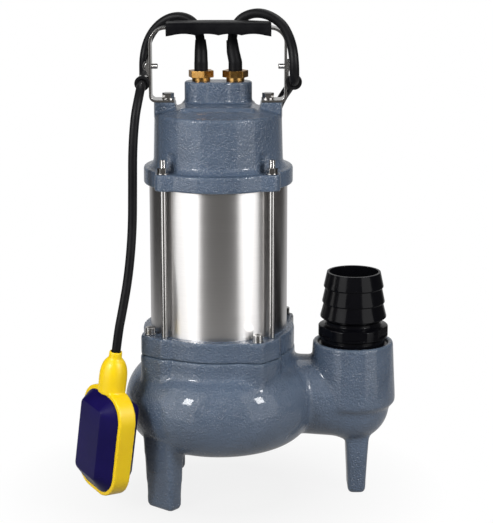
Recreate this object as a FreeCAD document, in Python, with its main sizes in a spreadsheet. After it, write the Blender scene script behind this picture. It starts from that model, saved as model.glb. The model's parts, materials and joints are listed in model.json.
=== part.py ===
import FreeCAD, Part
import math
import os
import Sketcher
from FreeCAD import Placement, Rotation, Vector

# Submersible sump pump with a float switch, in millimetres.
# The origin is the centre of the suction mouth on the pump's axis, +Z up,
# the outlet towards +X and the float switch at the front left.

SIZES = [
    # Heights of the main joints, from the suction mouth
    ("floor_level", -50, "underside of the feet"),
    ("rim_level", 82, "joint between volute and motor base"),
    ("base_top", 99, "top of the motor base, where the tube stands"),
    ("tube_top", 223.6, "top of the tube, underside of the cover flange"),
    ("flange_top", 237.3, "top of the cover flange"),
    ("cover_top", 282.5, "top plate of the cover"),
    # Volute casing
    ("suction_radius", 27, "suction mouth"),
    ("suction_rim_radius", 46, "machined rim round the suction mouth"),
    ("chamber_floor", 8, "inside floor of the pump chamber"),
    ("chamber_radius", 56, "bore of the neck, which takes the motor base"),
    ("neck_radius", 64.9, "outside of the neck"),
    ("scroll_middle", 48.5, "radius of the scroll's centre line at its start"),
    ("scroll_middle_growth", 3, "its growth over a full turn"),
    ("scroll_width", 27.5, "half width of the scroll at its start"),
    ("scroll_width_growth", 6, "its growth over a full turn"),
    ("scroll_height", 35, "half height of the scroll at its start"),
    ("scroll_height_growth", 2, "its growth over a full turn"),
    ("scroll_wall", 6.4, "thickness of the scroll's wall"),
    ("outlet_x", 115, "axis of the outlet boss"),
    ("outlet_top", 85, "mouth of the outlet boss"),
    ("outlet_ridge", 32, "lower edge of the boss's cone"),
    ("outlet_top_radius", 34.3, "boss at its mouth"),
    ("outlet_ridge_radius", 37.2, "boss at its ridge"),
    ("outlet_thread_radius", 29.8, "female pipe thread of 2 inches"),
    ("outlet_thread_bottom", 63, "end of the thread"),
    ("elbow_radius", 32, "ball under the boss"),
    ("elbow_height", 28.5, "centre of that ball"),
    ("passage_radius", 25, "bore of the outlet passage"),
    ("passage_height", 36, "centre of the passage"),
    # Feet
    ("side_foot_x", -46.2, "centre of the two left feet at the floor"),
    ("side_foot_y", 46, "the same, to the front and to the rear"),
    ("side_foot_width", 28.4, "their width at the floor"),
    ("side_foot_depth", 14.8, "their depth at the floor"),
    ("outlet_foot_x", 119.3, "centre of the foot under the outlet"),
    ("outlet_foot_width", 28, "its width at the floor"),
    ("outlet_foot_depth", 15, "its depth at the floor"),
    ("foot_flare", 6, "growth of a foot's width and depth to its top"),
    # Motor base, seals and oil chamber
    ("base_radius", 64.4, "outside of the motor base"),
    ("stud_offset", 44.4, "tie rods, along X and along Y"),
    ("stud_lug", 7, "radius of the lug round a tie rod"),
    ("screw_near", 33, "casing screws, smaller coordinate"),
    ("screw_far", 57, "casing screws, larger coordinate"),
    ("screw_lug", 7.8, "radius of the lug round a casing screw"),
    ("spigot_radius", 55.9, "spigot of the base in the casing's neck"),
    ("spigot_bottom", 70, "underside of that spigot"),
    ("tube_spigot_radius", 56.3, "spigot of the base in the tube"),
    ("oil_radius", 42, "oil chamber"),
    ("oil_roof", 106, "roof of the oil chamber"),
    ("seal_cover_bottom", 64, "underside of the seal cover"),
    ("lip_seal_radius", 16, "outside of the shaft's lip seal"),
    # Tube and motor
    ("tube_radius", 58, "outside of the stainless tube"),
    ("tube_wall", 1.5, "its wall"),
    ("stack_bottom", 137, "underside of the laminations"),
    ("stack_length", 50, "height of the laminations"),
    ("bore_radius", 31, "stator bore"),
    ("rotor_radius", 30.6, "rotor"),
    ("slot_count", 24, "stator slots"),
    ("bar_count", 18, "rotor bars"),
    ("shaft_radius", 10, "shaft in the rotor"),
    ("lower_journal", 8.5, "shaft in the lower bearing"),
    ("upper_journal", 7.5, "shaft in the upper bearing"),
    ("seal_journal", 8, "shaft in the face seal"),
    ("nose_radius", 7, "shaft in the impeller"),
    ("nose_bottom", 44, "lower end of the shaft"),
    ("lower_bearing", 117, "underside of the lower bearing"),
    ("lower_bearing_radius", 20, "its outside"),
    ("upper_bearing", 204, "underside of the upper bearing"),
    ("upper_bearing_radius", 17.5, "its outside"),
    # Impeller
    ("impeller_radius", 48, "tips of the blades"),
    ("blade_bottom", 40, "lower edge of the blades"),
    ("shroud_bottom", 54, "underside of the impeller's disc"),
    ("blade_count", 8, "blades"),
    # Cover with the cable box
    ("cover_radius", 53, "cover at its top"),
    ("cover_draft", 1.3, "how much wider it is at the flange"),
    ("flange_radius", 62.5, "round part of the cover flange"),
    ("cover_cavity", 48.5, "inside of the cover"),
    ("pad_half", 30.5, "half width of the raised pad on the cover"),
    ("pad_depth", 28, "from its middle to its front edge"),
    ("pad_top", 288.7, "top of that pad"),
    ("box_top", 306.4, "top of the cable box"),
    ("gland_x", 14.3, "the two glands, left and right of the axis"),
    ("gland_y", 12, "glands behind the axis"),
    ("lobe_radius", 14, "each lobe of the cable box"),
    ("nut_top", 315.3, "top of the gland nuts"),
    ("nut_height", 5.7, "gland nuts"),
    # Handle
    ("strip_half", 56, "upright legs of the strip, from the axis"),
    ("strip_top", 352, "middle of the strip at its top"),
    ("strip_thickness", 2, "strip"),
    ("strip_width", 20, "strip"),
    ("boss_top", 291, "bosses that the strip stands on"),
    ("handle_bolt_x", 41.5, "bolts of the strip"),
    ("grip_half", 43.3, "half length of the grip"),
    ("grip_depth", 25, "depth of the grip"),
    ("clip_screw_height", 320, "screws of the two cable clips"),
    ("clip_drop", 13, "from a clip's screw to the middle of its ring"),
    ("clip_tilt", 7, "turn of the right clip about its screw, in degrees"),
    ("clip_lining", 0.9, "rubber between a cable and its clip"),
    ("clip_band", 0.8, "steel band of a clip"),
    ("grip_shift", 0.7, "grip towards the outlet"),
    # Hose tail
    ("tail_bore", 20.9, "bore of the hose tail"),
    ("tail_top", 145.4, "top of the hose tail"),
    ("collar_radius", 29.75, "wrench collar of the hose tail"),
    # Cables
    ("float_cable", 7.6, "diameter of the float's cable"),
    ("power_cable", 8, "diameter of the power cable"),
    ("coil_x", 5, "middle of the stowed coil"),
    ("coil_y", 166, "middle of the stowed coil"),
    ("coil_outer", 66.5, "largest radius of the coil's centre line"),
    ("coil_step", 9.2, "from one turn to the next, and from layer to layer"),
    ("coil_layer_turns", 3.3815, "turns in each layer"),
    ("coil_lift", 1.1, "the ties pass under the coil"),
    # Float switch
    ("float_width", 61, "float across its yellow band"),
    ("float_height", 91, "float along its axis, without its neck"),
    ("band_thickness", 15, "yellow band"),
    ("shell_depth", 11, "how far each shell stands out of the band"),
    ("neck_length", 34, "neck above the float's body"),
    ("shell_margin", 3, "edge of the band outside a shell"),
    ("shell_slope", 11.5, "run of a shell's sloping sides"),
    ("ball_radius", 7, "steel ball"),
    ("channel_y", 5.5, "axis of the ball's channel, beside the float's own"),
]

doc = FreeCAD.newDocument("sump_pump")
sheet = doc.addObject("Spreadsheet::Sheet", "Sizes")
for row, (alias, number, note) in enumerate(SIZES, start=1):
    sheet.set("A%d" % row, note)
    sheet.set("B%d" % row, str(number))
    sheet.setAlias("B%d" % row, alias)
doc.recompute()


class Size:
    """A number that keeps the sheet formula it comes from."""

    def __init__(self, number, formula=None):
        self.number = float(number)
        self.formula = formula if formula else "(%.6f)" % float(number)

    def merged(self, sign, other, number):
        return Size(number, "(%s %s %s)" % (self.formula, sign, other.formula))

    def __add__(self, other):
        other = as_size(other)
        return self.merged("+", other, self.number + other.number)

    def __sub__(self, other):
        other = as_size(other)
        return self.merged("-", other, self.number - other.number)

    def __mul__(self, other):
        other = as_size(other)
        return self.merged("*", other, self.number * other.number)

    def __truediv__(self, other):
        other = as_size(other)
        return self.merged("/", other, self.number / other.number)

    def __radd__(self, other):
        return as_size(other) + self

    def __rsub__(self, other):
        return as_size(other) - self

    def __rmul__(self, other):
        return as_size(other) * self

    def __neg__(self):
        return as_size(0) - self

    def __float__(self):
        return self.number


class Sheet:
    """Reads a cell of the sheet by its alias."""

    def __getattr__(self, alias):
        return Size(float(sheet.get(alias)), "Sizes." + alias)


S = Sheet()
NODES = {}


def as_size(value):
    return value if isinstance(value, Size) else Size(value)


def bind(thing, name, value):
    thing.setExpression(name, as_size(value).formula)


def put(thing, x=0, y=0, z=0):
    """Places an object, each coordinate bound to the sheet."""
    for axis, value in (("x", x), ("y", y), ("z", z)):
        bind(thing, "Placement.Base." + axis, value)
    return thing


def turn(thing, axis, angle):
    thing.Placement = Placement(Vector(), Rotation(Vector(*axis), angle))
    return thing


def rod(name, radius, bottom, top, x=0, y=0):
    made = doc.addObject("Part::Cylinder", name)
    bind(made, "Radius", radius)
    bind(made, "Height", as_size(top) - bottom)
    return put(made, x, y, bottom)


def rod_along(name, axis, radius, start, length):
    """A cylinder along +X or +Y from a start point."""
    made = doc.addObject("Part::Cylinder", name)
    bind(made, "Radius", radius)
    bind(made, "Height", length)
    turn(made, (0, 1, 0) if axis == "x" else (1, 0, 0), 90 if axis == "x" else -90)
    return put(made, *start)


def cone(name, low_radius, high_radius, bottom, top, x=0, y=0):
    made = doc.addObject("Part::Cone", name)
    bind(made, "Radius1", low_radius)
    bind(made, "Radius2", high_radius)
    bind(made, "Height", as_size(top) - bottom)
    return put(made, x, y, bottom)


def block(name, low, high):
    made = doc.addObject("Part::Box", name)
    for side, a, b in zip(("Length", "Width", "Height"), low, high):
        bind(made, side, as_size(b) - a)
    return put(made, *low)


def ball(name, radius, x=0, y=0, z=0):
    made = doc.addObject("Part::Sphere", name)
    bind(made, "Radius", radius)
    return put(made, x, y, z)


def ring_bead(name, middle, radius, z, x=0, y=0):
    """A round section turned about a vertical axis, as an O-ring is."""
    made = doc.addObject("Part::Torus", name)
    bind(made, "Radius1", middle)
    bind(made, "Radius2", radius)
    return put(made, x, y, z)


def hexagon(name, across_flats, bottom, top, x=0, y=0):
    made = doc.addObject("Part::Prism", name)
    made.Polygon = 6
    bind(made, "Circumradius", as_size(across_flats) / math.sqrt(3))
    bind(made, "Height", as_size(top) - bottom)
    return put(made, x, y, bottom)


def joined(name, *pieces):
    made = doc.addObject("Part::MultiFuse", name)
    made.Shapes = list(pieces)
    made.Refine = True
    return made


def cut(name, base, *tools):
    made = doc.addObject("Part::Cut", name)
    made.Base = base
    made.Tool = tools[0] if len(tools) == 1 else joined(name + "_hollows", *tools)
    return made


def carved(name, base, *tools):
    """Cuts the tools one after another, which curved hollows that meet need."""
    for i, tool in enumerate(tools):
        base = cut("%s_%d" % (name, i), base, tool)
    return base


def shared(name, *pieces):
    made = doc.addObject("Part::MultiCommon", name)
    made.Shapes = list(pieces)
    return made


def group(name, *pieces):
    """Separate solids that share one node."""
    made = doc.addObject("Part::Compound", name)
    made.Links = list(pieces)
    return made


def ring(name, outer, inner, bottom, top, x=0, y=0):
    whole = rod(name + "_outer", outer, bottom, top, x, y)
    hole = rod(name + "_inner", inner, as_size(bottom) - 1, as_size(top) + 1, x, y)
    return cut(name, whole, hole)


def fixed_shape(name, shape):
    """A shape made with Part's own functions."""
    made = doc.addObject("Part::Feature", name)
    made.Shape = shape
    return made


def rounded(name, base, radius, chosen):
    """Fillets the edges of a finished object that the test chooses."""
    doc.recompute()
    made = doc.addObject("Part::Fillet", name)
    made.Base = base
    picked = [i for i, edge in enumerate(base.Shape.Edges, 1) if chosen(edge)]
    made.Edges = [(i, float(radius), float(radius)) for i in picked]
    return made


def level(edge):
    """The height of a horizontal edge, or None."""
    low, high = edge.BoundBox.ZMin, edge.BoundBox.ZMax
    return (low + high) / 2 if high - low < 0.01 else None


def upright(edge):
    ends = [v.Point for v in edge.Vertexes]
    return len(ends) == 2 and abs(ends[0].x - ends[1].x) < 0.01 and abs(ends[0].y - ends[1].y) < 0.01


def sketch(body, name, role, points, offset=0):
    """A closed outline in one of the body's planes, every corner bound to the sheet."""
    drawing = body.newObject("Sketcher::SketchObject", name)
    plane = next(f for f in body.Origin.OriginFeatures if f.Role == role)
    drawing.AttachmentSupport = [(plane, "")]
    drawing.MapMode = "FlatFace"
    drawing.AttachmentOffset = Placement(Vector(0, 0, float(offset)), Rotation())
    corners = [(as_size(a), as_size(b)) for a, b in points]
    count = len(corners)
    for i, (a, b) in enumerate(corners):
        c, d = corners[(i + 1) % count]
        line = Part.LineSegment(Vector(float(a), float(b), 0), Vector(float(c), float(d), 0))
        drawing.addGeometry(line, False)
    for i in range(count):
        drawing.addConstraint(Sketcher.Constraint("Coincident", i, 2, (i + 1) % count, 1))
    for i, (a, b) in enumerate(corners):
        for kind, value in (("DistanceX", a), ("DistanceY", b)):
            index = drawing.addConstraint(Sketcher.Constraint(kind, -1, 1, i, 1, float(value)))
            drawing.setExpression("Constraints[%d]" % index, value.formula)
    return drawing


def revolved(body, name, profile):
    made = body.newObject("PartDesign::Revolution", name)
    made.Profile = profile
    made.ReferenceAxis = (profile, ["V_Axis"])
    made.Angle = 360
    return made


def turned(name, points, x=0, y=0):
    """A turned piece: its half section as pairs of radius and height."""
    body = doc.addObject("PartDesign::Body", name)
    revolved(body, name + "_turning", sketch(body, name + "_section", "XZ_Plane", points))
    return put(body, x, y, 0)


def around(body, name, feature, profile, count):
    """Repeats a feature of a body round the axis."""
    made = body.newObject("PartDesign::PolarPattern", name)
    made.Originals = [feature]
    made.Axis = (profile, ["N_Axis"])
    made.Angle = 360
    bind(made, "Occurrences", count)
    body.Tip = made
    return made


def node(thing, name):
    """Names a sub-part; the label is also the name of its file."""
    thing.Label = name
    NODES[name] = thing
    return thing


# Tubes, wires and strips that follow a path

def arc_from(start, tangent, end):
    """The arc that leaves start along tangent and reaches end."""
    chord = end - start
    along = chord.normalize() if chord.Length else chord
    chord = end - start
    side = tangent - along * tangent.dot(along)
    if side.Length < 1e-6:
        return Part.LineSegment(start, end).toShape()
    half = math.acos(max(-1, min(1, tangent.dot(along))))
    side.normalize()
    middle = start + chord * 0.5 + side * (chord.Length / 2 * math.tan(half / 2))
    return Part.Arc(start, middle, end).toShape()


def biarc(start, leaving, end, arriving):
    """Two arcs that join smoothly between two points with given directions."""
    chord = end - start
    both = leaving + arriving
    spread = 2 * (1 - leaving.dot(arriving))
    reach = chord.dot(both)
    if spread < 1e-9:
        length = chord.dot(chord) / (4 * chord.dot(arriving))
    else:
        length = (-reach + math.sqrt(reach * reach + spread * chord.dot(chord))) / spread
    meeting = (start + end + (leaving - arriving) * length) * 0.5
    first = arc_from(start, leaving, meeting)
    second = arc_from(end, arriving * -1, meeting)
    return [first, second]


def rounded_path(points, share=0.45, radii=None):
    """Straight runs joined by tangent arcs; returns the wire and the arcs' radii."""
    points = [Vector(*p) for p in points]
    edges = []
    found = []
    here = points[0]
    for i in range(1, len(points) - 1):
        back = points[i - 1] - points[i]
        ahead = points[i + 1] - points[i]
        run = min(back.Length, ahead.Length)
        back.normalize()
        ahead.normalize()
        half = (math.pi - back.getAngle(ahead)) / 2
        radius = radii[i - 1] if radii else share * run / math.tan(half)
        trim = radius * math.tan(half)
        enter = points[i] + back * trim
        leave = points[i] + ahead * trim
        if (enter - here).Length > 1e-4:
            edges.append(Part.LineSegment(here, enter).toShape())
        edges.append(arc_from(enter, back * -1, leave))
        found.append(radius)
        here = leave
    edges.append(Part.LineSegment(here, points[-1]).toShape())
    return Part.Wire(edges), found


def swept(profile, path):
    """A solid swept along a smooth path, profile standing square to its start."""
    return path.makePipeShell([profile], True, False)


def round_section(path, radius):
    first = path.Edges[0]
    start = first.valueAt(first.FirstParameter)
    along = first.tangentAt(first.FirstParameter)
    return Part.Wire([Part.Circle(start, along, float(radius)).toShape()])


def checked_tube(name, path, radius):
    """A round tube along a path, its volume compared with section times length."""
    solid = swept(round_section(path, radius), path)
    wanted = math.pi * float(radius) ** 2 * path.Length
    print("%s: length %.1f, volume ratio %.4f" % (name, path.Length, solid.Volume / wanted))
    return fixed_shape(name, solid)


def cable(name, points, diameter):
    path, radii = rounded_path(points)
    print("%s: bend radii in diameters" % name, [round(r / float(diameter), 1) for r in radii])
    return checked_tube(name, path, diameter / 2)


def wound_path(place, turns, steps):
    """A smooth path of biarcs through a curve given as a function of turns."""
    tiny = 1e-4

    def direction(at):
        return (place(at + tiny) - place(at - tiny)).normalize()

    marks = [turns * i / steps for i in range(steps + 1)]
    edges = []
    for a, b in zip(marks, marks[1:]):
        edges += biarc(place(a), direction(a), place(b), direction(b))
    return Part.Wire(Part.__sortEdges__(edges))


def least_gap(place, turns, diameter, samples_per_turn=48):
    """The least gap between a winding and its own other turns."""
    count = int(turns * samples_per_turn)
    dots = [place(turns * i / count) for i in range(count + 1)]
    apart = samples_per_turn // 2
    nearest = min((dots[j] - dots[i]).Length for i in range(count) for j in range(i + apart, count + 1))
    return nearest - float(diameter)


# Lugs and flanges shared by the casing, the motor base and the cover

def corners(near, far=None):
    """The four mirrored places of a tie rod, or of a casing screw in its order."""
    if far is None:
        return [(near, near), (-near, near), (-near, -near), (near, -near)]
    return [(near, -far), (-far, -near), (-near, far), (far, near)]


STUDS = corners(S.stud_offset)
SCREWS = corners(S.screw_near, S.screw_far)


def lug(name, radius, x, y, bottom, top):
    """A round lug with parallel sides that run back to the flange."""
    away = Vector(float(x), float(y), 0)
    bearing = math.degrees(math.atan2(away.y, away.x))
    side = block(name + "_web", (0, -as_size(radius), bottom), (0, 0, 0))
    bind(side, "Length", away.Length)
    bind(side, "Width", as_size(radius) * 2)
    bind(side, "Height", as_size(top) - bottom)
    across = Vector(math.sin(math.radians(bearing)), -math.cos(math.radians(bearing)), 0) * float(radius)
    side.Placement = Placement(Vector(), Rotation(Vector(0, 0, 1), bearing))
    put(side, across.x, across.y, bottom)
    return joined(name, side, rod(name + "_end", radius, bottom, top, x, y))


def webs(name, bottom, top, extra):
    """Flat-sided webs from lug to lug, so that the flange has no notches between them."""
    ends = [(math.atan2(float(y), float(x)), Vector(float(x), float(y), bottom), float(radius) + extra)
            for places, radius in ((STUDS, S.stud_lug), (SCREWS, S.screw_lug)) for x, y in places]
    ends.sort(key=lambda end: end[0])
    made = []
    for i, (bearing, start, start_radius) in enumerate(ends):
        end, end_radius = ends[(i + 1) % len(ends)][1:]
        along = end - start
        lean = (start_radius - end_radius) / along.Length
        along.normalize()
        out = along * lean + Vector(along.y, -along.x, 0) * math.sqrt(1 - lean * lean)
        outline = Part.makePolygon([Vector(0, 0, bottom), start, start + out * start_radius,
                                    end + out * end_radius, end, Vector(0, 0, bottom)])
        made.append(fixed_shape("%s_web_%d" % (name, i),
                                Part.Face(outline).extrude(Vector(0, 0, float(top) - float(bottom)))))
    return made


def lugs(name, bottom, top, extra=0):
    made = webs(name, float(bottom), top, extra)
    for i, (x, y) in enumerate(STUDS):
        made.append(lug("%s_stud_lug_%d" % (name, i), S.stud_lug + extra, x, y, bottom, top))
    for i, (x, y) in enumerate(SCREWS):
        made.append(lug("%s_screw_lug_%d" % (name, i), S.screw_lug + extra, x, y, bottom, top))
    return made


# Volute casing, one iron casting with the scroll, the outlet and three feet

SCROLL_START = 15
SCROLL_END = 355
SCROLL_SECTIONS = 12


def oval(name, half_height, half_width, place, outward):
    made = doc.addObject("Part::Ellipse", name)
    bind(made, "MajorRadius", half_height)
    bind(made, "MinorRadius", half_width)
    up = Vector(0, 0, 1)
    made.Placement = Placement(Vector(), Rotation(up, outward, up.cross(outward), "XYZ"))
    return put(made, *place)


def lofted(name, sections):
    made = doc.addObject("Part::Loft", name)
    made.Sections = sections
    made.Solid = True
    return made


def scroll(name, inset):
    """The spiral passage: oval sections round the axis that grow towards the outlet."""
    sections = []
    for k in range(SCROLL_SECTIONS + 1):
        angle = SCROLL_START + k * (SCROLL_END - SCROLL_START) / SCROLL_SECTIONS
        share = angle / 360
        outward = Vector(math.cos(math.radians(angle)), math.sin(math.radians(angle)), 0)
        middle = S.scroll_middle + S.scroll_middle_growth * share
        height = S.scroll_height + S.scroll_height_growth * share
        width = S.scroll_width + S.scroll_width_growth * share
        place = (middle * outward.x, middle * outward.y, height - 2)
        sections.append(oval("%s_%d" % (name, k), height - inset, width - inset, place, outward))
    return lofted(name, sections)


def foot(name, width, depth, facing, x, y, top):
    """A tapered foot with rounded corners, its broad side square to the bearing it faces."""
    made = doc.addObject("Part::Wedge", name + "_block")
    for low, high, size in (("Xmin", "Xmax", width + S.foot_flare), ("Zmin", "Zmax", depth + S.foot_flare),
                            ("X2min", "X2max", width), ("Z2min", "Z2max", depth)):
        bind(made, low, size * -0.5)
        bind(made, high, size * 0.5)
    made.Ymin = 0
    bind(made, "Ymax", as_size(top) - S.floor_level)
    soft = rounded(name, made, 4, lambda edge: edge.BoundBox.YMax > 1)
    down = Rotation(Vector(1, 0, 0), -90)
    soft.Placement = Placement(Vector(), Rotation(Vector(0, 0, 1), facing - 90).multiply(down))
    return put(soft, x, y, top)


def volute_casing():
    passage = lofted("passage", [
        oval("passage_near", 34, 34, (50, 0, 38), Vector(0, 1, 0)),
        oval("passage_far", 35.5, 31.5, (112, 0, 34.5), Vector(0, 1, 0))])
    outside = joined(
        "casing_outside", scroll("scroll_outside", 0),
        rod("suction_rim", S.suction_rim_radius, 0, 12),
        rod("neck", S.neck_radius, 40, S.rim_level),
        *lugs("neck", 48, S.rim_level, 0.5),
        passage,
        ball("elbow", S.elbow_radius, S.outlet_x, 0, S.elbow_height),
        cone("boss_ledge", S.elbow_radius, S.outlet_ridge_radius, S.outlet_ridge - 4, S.outlet_ridge, S.outlet_x),
        cone("boss", S.outlet_ridge_radius, S.outlet_top_radius, S.outlet_ridge, S.outlet_top, S.outlet_x),
        foot("left_front_foot", S.side_foot_width, S.side_foot_depth, 230, S.side_foot_x, S.side_foot_y * -1, 20),
        foot("left_rear_foot", S.side_foot_width, S.side_foot_depth, 130, S.side_foot_x, S.side_foot_y, 20),
        foot("outlet_foot", S.outlet_foot_width, S.outlet_foot_depth, 0, S.outlet_foot_x, 0, 8))
    hollows = [
        rod("chamber", S.chamber_radius, S.chamber_floor, S.rim_level + 1),
        rod("suction_mouth", S.suction_radius, -5, S.chamber_floor + 1),
        rod("rim_recess", S.suction_rim_radius, -6, 0),
        scroll("scroll_inside", S.scroll_wall),
        rod_along("passage_bore", "x", S.passage_radius, (50, 0, S.passage_height), S.outlet_x - 50),
        ball("elbow_bore", S.passage_radius, S.outlet_x, 0, S.passage_height),
        rod("outlet_bore", S.passage_radius, S.passage_height, S.outlet_thread_bottom + 1, S.outlet_x),
        rod("outlet_thread", S.outlet_thread_radius, S.outlet_thread_bottom, S.outlet_top + 1, S.outlet_x)]
    screw_holes = [rod("casing_screw_hole_%d" % i, 2.1, 66, S.rim_level + 1, x, y)
                   for i, (x, y) in enumerate(SCREWS)]
    hollows.append(group("casing_screw_holes", *screw_holes))
    node(carved("casing", outside, *hollows), "volute_casing")


# Motor base: lower flange, oil chamber and lower bearing seat in one casting

def motor_base():
    shell = turned("base_shell", [
        (S.oil_radius, S.spigot_bottom), (S.spigot_radius, S.spigot_bottom), (S.spigot_radius, S.rim_level),
        (S.base_radius, S.rim_level), (S.base_radius, S.base_top), (S.tube_spigot_radius, S.base_top),
        (S.tube_spigot_radius, 107), (50, 107), (48, 112), (27, 112), (27, S.lower_bearing + 12),
        (S.lower_bearing_radius, S.lower_bearing + 12), (S.lower_bearing_radius, S.lower_bearing),
        (12, S.lower_bearing), (12, 113), (S.lip_seal_radius, 113), (S.lip_seal_radius, S.oil_roof),
        (S.oil_radius, S.oil_roof)])
    solid = joined("base_solid", shell, *lugs("base", S.rim_level, S.base_top))
    hollows = [
        rod("oil_room", S.oil_radius, S.rim_level - 5, S.oil_roof),
        ring("neck_ring_groove", 60, 54.2, 75.9, 78.1),
        ring("tube_ring_groove", 57, 54.2, 102, 104.4),
        rod_along("oil_hole", "y", 4, (0, 40, 90.5), 30)]
    for i, (x, y) in enumerate(SCREWS):
        hollows.append(rod("base_screw_hole_%d" % i, 2.6, S.rim_level - 1, S.base_top + 1, x, y))
    for i, (x, y) in enumerate(STUDS):
        hollows.append(rod("base_stud_hole_%d" % i, 2.5, 85, S.base_top + 1, x, y))
    for i, (x, y) in enumerate(corners(as_size(32.5))):
        hollows.append(rod("base_cover_hole_%d" % i, 2, S.spigot_bottom - 1, 80, x, y))
    node(cut("base", solid, *hollows), "motor_base")


def seal_cover():
    disc = turned("seal_cover_disc", [
        (10, S.seal_cover_bottom), (50, S.seal_cover_bottom), (50, S.spigot_bottom), (41.9, S.spigot_bottom),
        (41.9, 75), (13.5, 75), (13.5, 68.5), (10, 68.5)])
    holes = [ring("seal_cover_groove", 45, 40.2, 71.6, 73.4)]
    screws = []
    for i, (x, y) in enumerate(corners(as_size(32.5))):
        holes.append(rod("seal_cover_hole_%d" % i, 2.1, 60, 76, x, y))
        holes.append(cone("seal_cover_sink_%d" % i, 4.3, 2.1, S.seal_cover_bottom, 66.2, x, y))
        head = cone("sunk_head_%d" % i, 4.2, 2, S.seal_cover_bottom, 66.2, x, y)
        screws.append(joined("sunk_screw_%d" % i, head, rod("sunk_shank_%d" % i, 1.95, 65, 79.5, x, y)))
    node(cut("seal_cover_part", disc, *holes), "seal_cover")
    node(group("sunk_screws", *screws), "seal_cover_screws")


def shaft_seals():
    node(ring("seal_seat_part", 13.4, 9.6, 68.6, 75), "seal_seat")
    node(turned("seal_head_part", [
        (8.05, 75.06), (9.8, 75.06), (12.6, 75.06), (12.6, 79), (14.2, 80), (14.2, 87), (12, 88), (8.05, 88)]),
        "seal_head")
    node(ring("seal_retaining_part", 13.2, 8.05, 102, 103.9), "seal_retaining_ring")
    node(turned("oil_seal_part", [
        (8.56, 108.6), (9.6, 106.4), (15.9, 106.4), (15.9, 112.9), (9.6, 112.9), (9.6, 110)]), "oil_seal")

    wire = 1.4
    first, last, turns = 88.8, 101.2, 4

    def coil_at(at):
        angle = math.tau * at
        return Vector(12.2 * math.cos(angle), 12.2 * math.sin(angle), first + (last - first) * at / turns)

    print("seal_spring: least gap %.2f" % least_gap(coil_at, turns, wire))
    node(checked_tube("seal_spring_part", wound_path(coil_at, turns, 4 * turns), wire / 2), "seal_spring")


def base_hardware():
    head = hexagon("plug_head", 11, 0, 4.2)
    shank = rod("plug_shank", 3.9, -20, 0.5)
    slot = block("plug_slot", (-0.8, -7, 3), (0.8, 7, 5))
    plug = cut("plug_turned", joined("plug_whole", head, shank), slot)
    turn(plug, (1, 0, 0), -90)
    node(put(plug, 0, S.base_radius + 0.1, 90.5), "oil_plug")
    node(group("o_rings", ring_bead("neck_ring", 55.1, 0.85, 77), ring_bead("tube_ring", 55.35, 1.1, 103.2),
               ring_bead("bracket_ring", 55.35, 1.1, 217), ring_bead("cover_ring", 41.05, 0.8, 72.5)),
         "housing_orings")
    screws = []
    washers = []
    for i, (x, y) in enumerate(SCREWS):
        head = rod("cap_head_%d" % i, 4.25, S.base_top + 1.2, S.base_top + 6.2, x, y)
        shank = rod("cap_shank_%d" % i, 2.05, 67, S.base_top + 2, x, y)
        socket = hexagon("cap_socket_%d" % i, 4, S.base_top + 3.4, S.base_top + 7, x, y)
        screws.append(cut("cap_screw_%d" % i, joined("cap_blank_%d" % i, head, shank), socket))
        washers.append(ring("cap_washer_%d" % i, 4.6, 2.6, S.base_top, S.base_top + 1.2, x, y))
    for i, (x, y) in enumerate(STUDS):
        washers.append(ring("stud_washer_%d" % i, 5, 2.7, S.flange_top, S.flange_top + 1, x, y))
    node(group("cap_screws", *screws), "flange_screws")
    node(group("washers", *washers), "flange_washers")


# Stainless tube with the motor inside it

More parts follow.
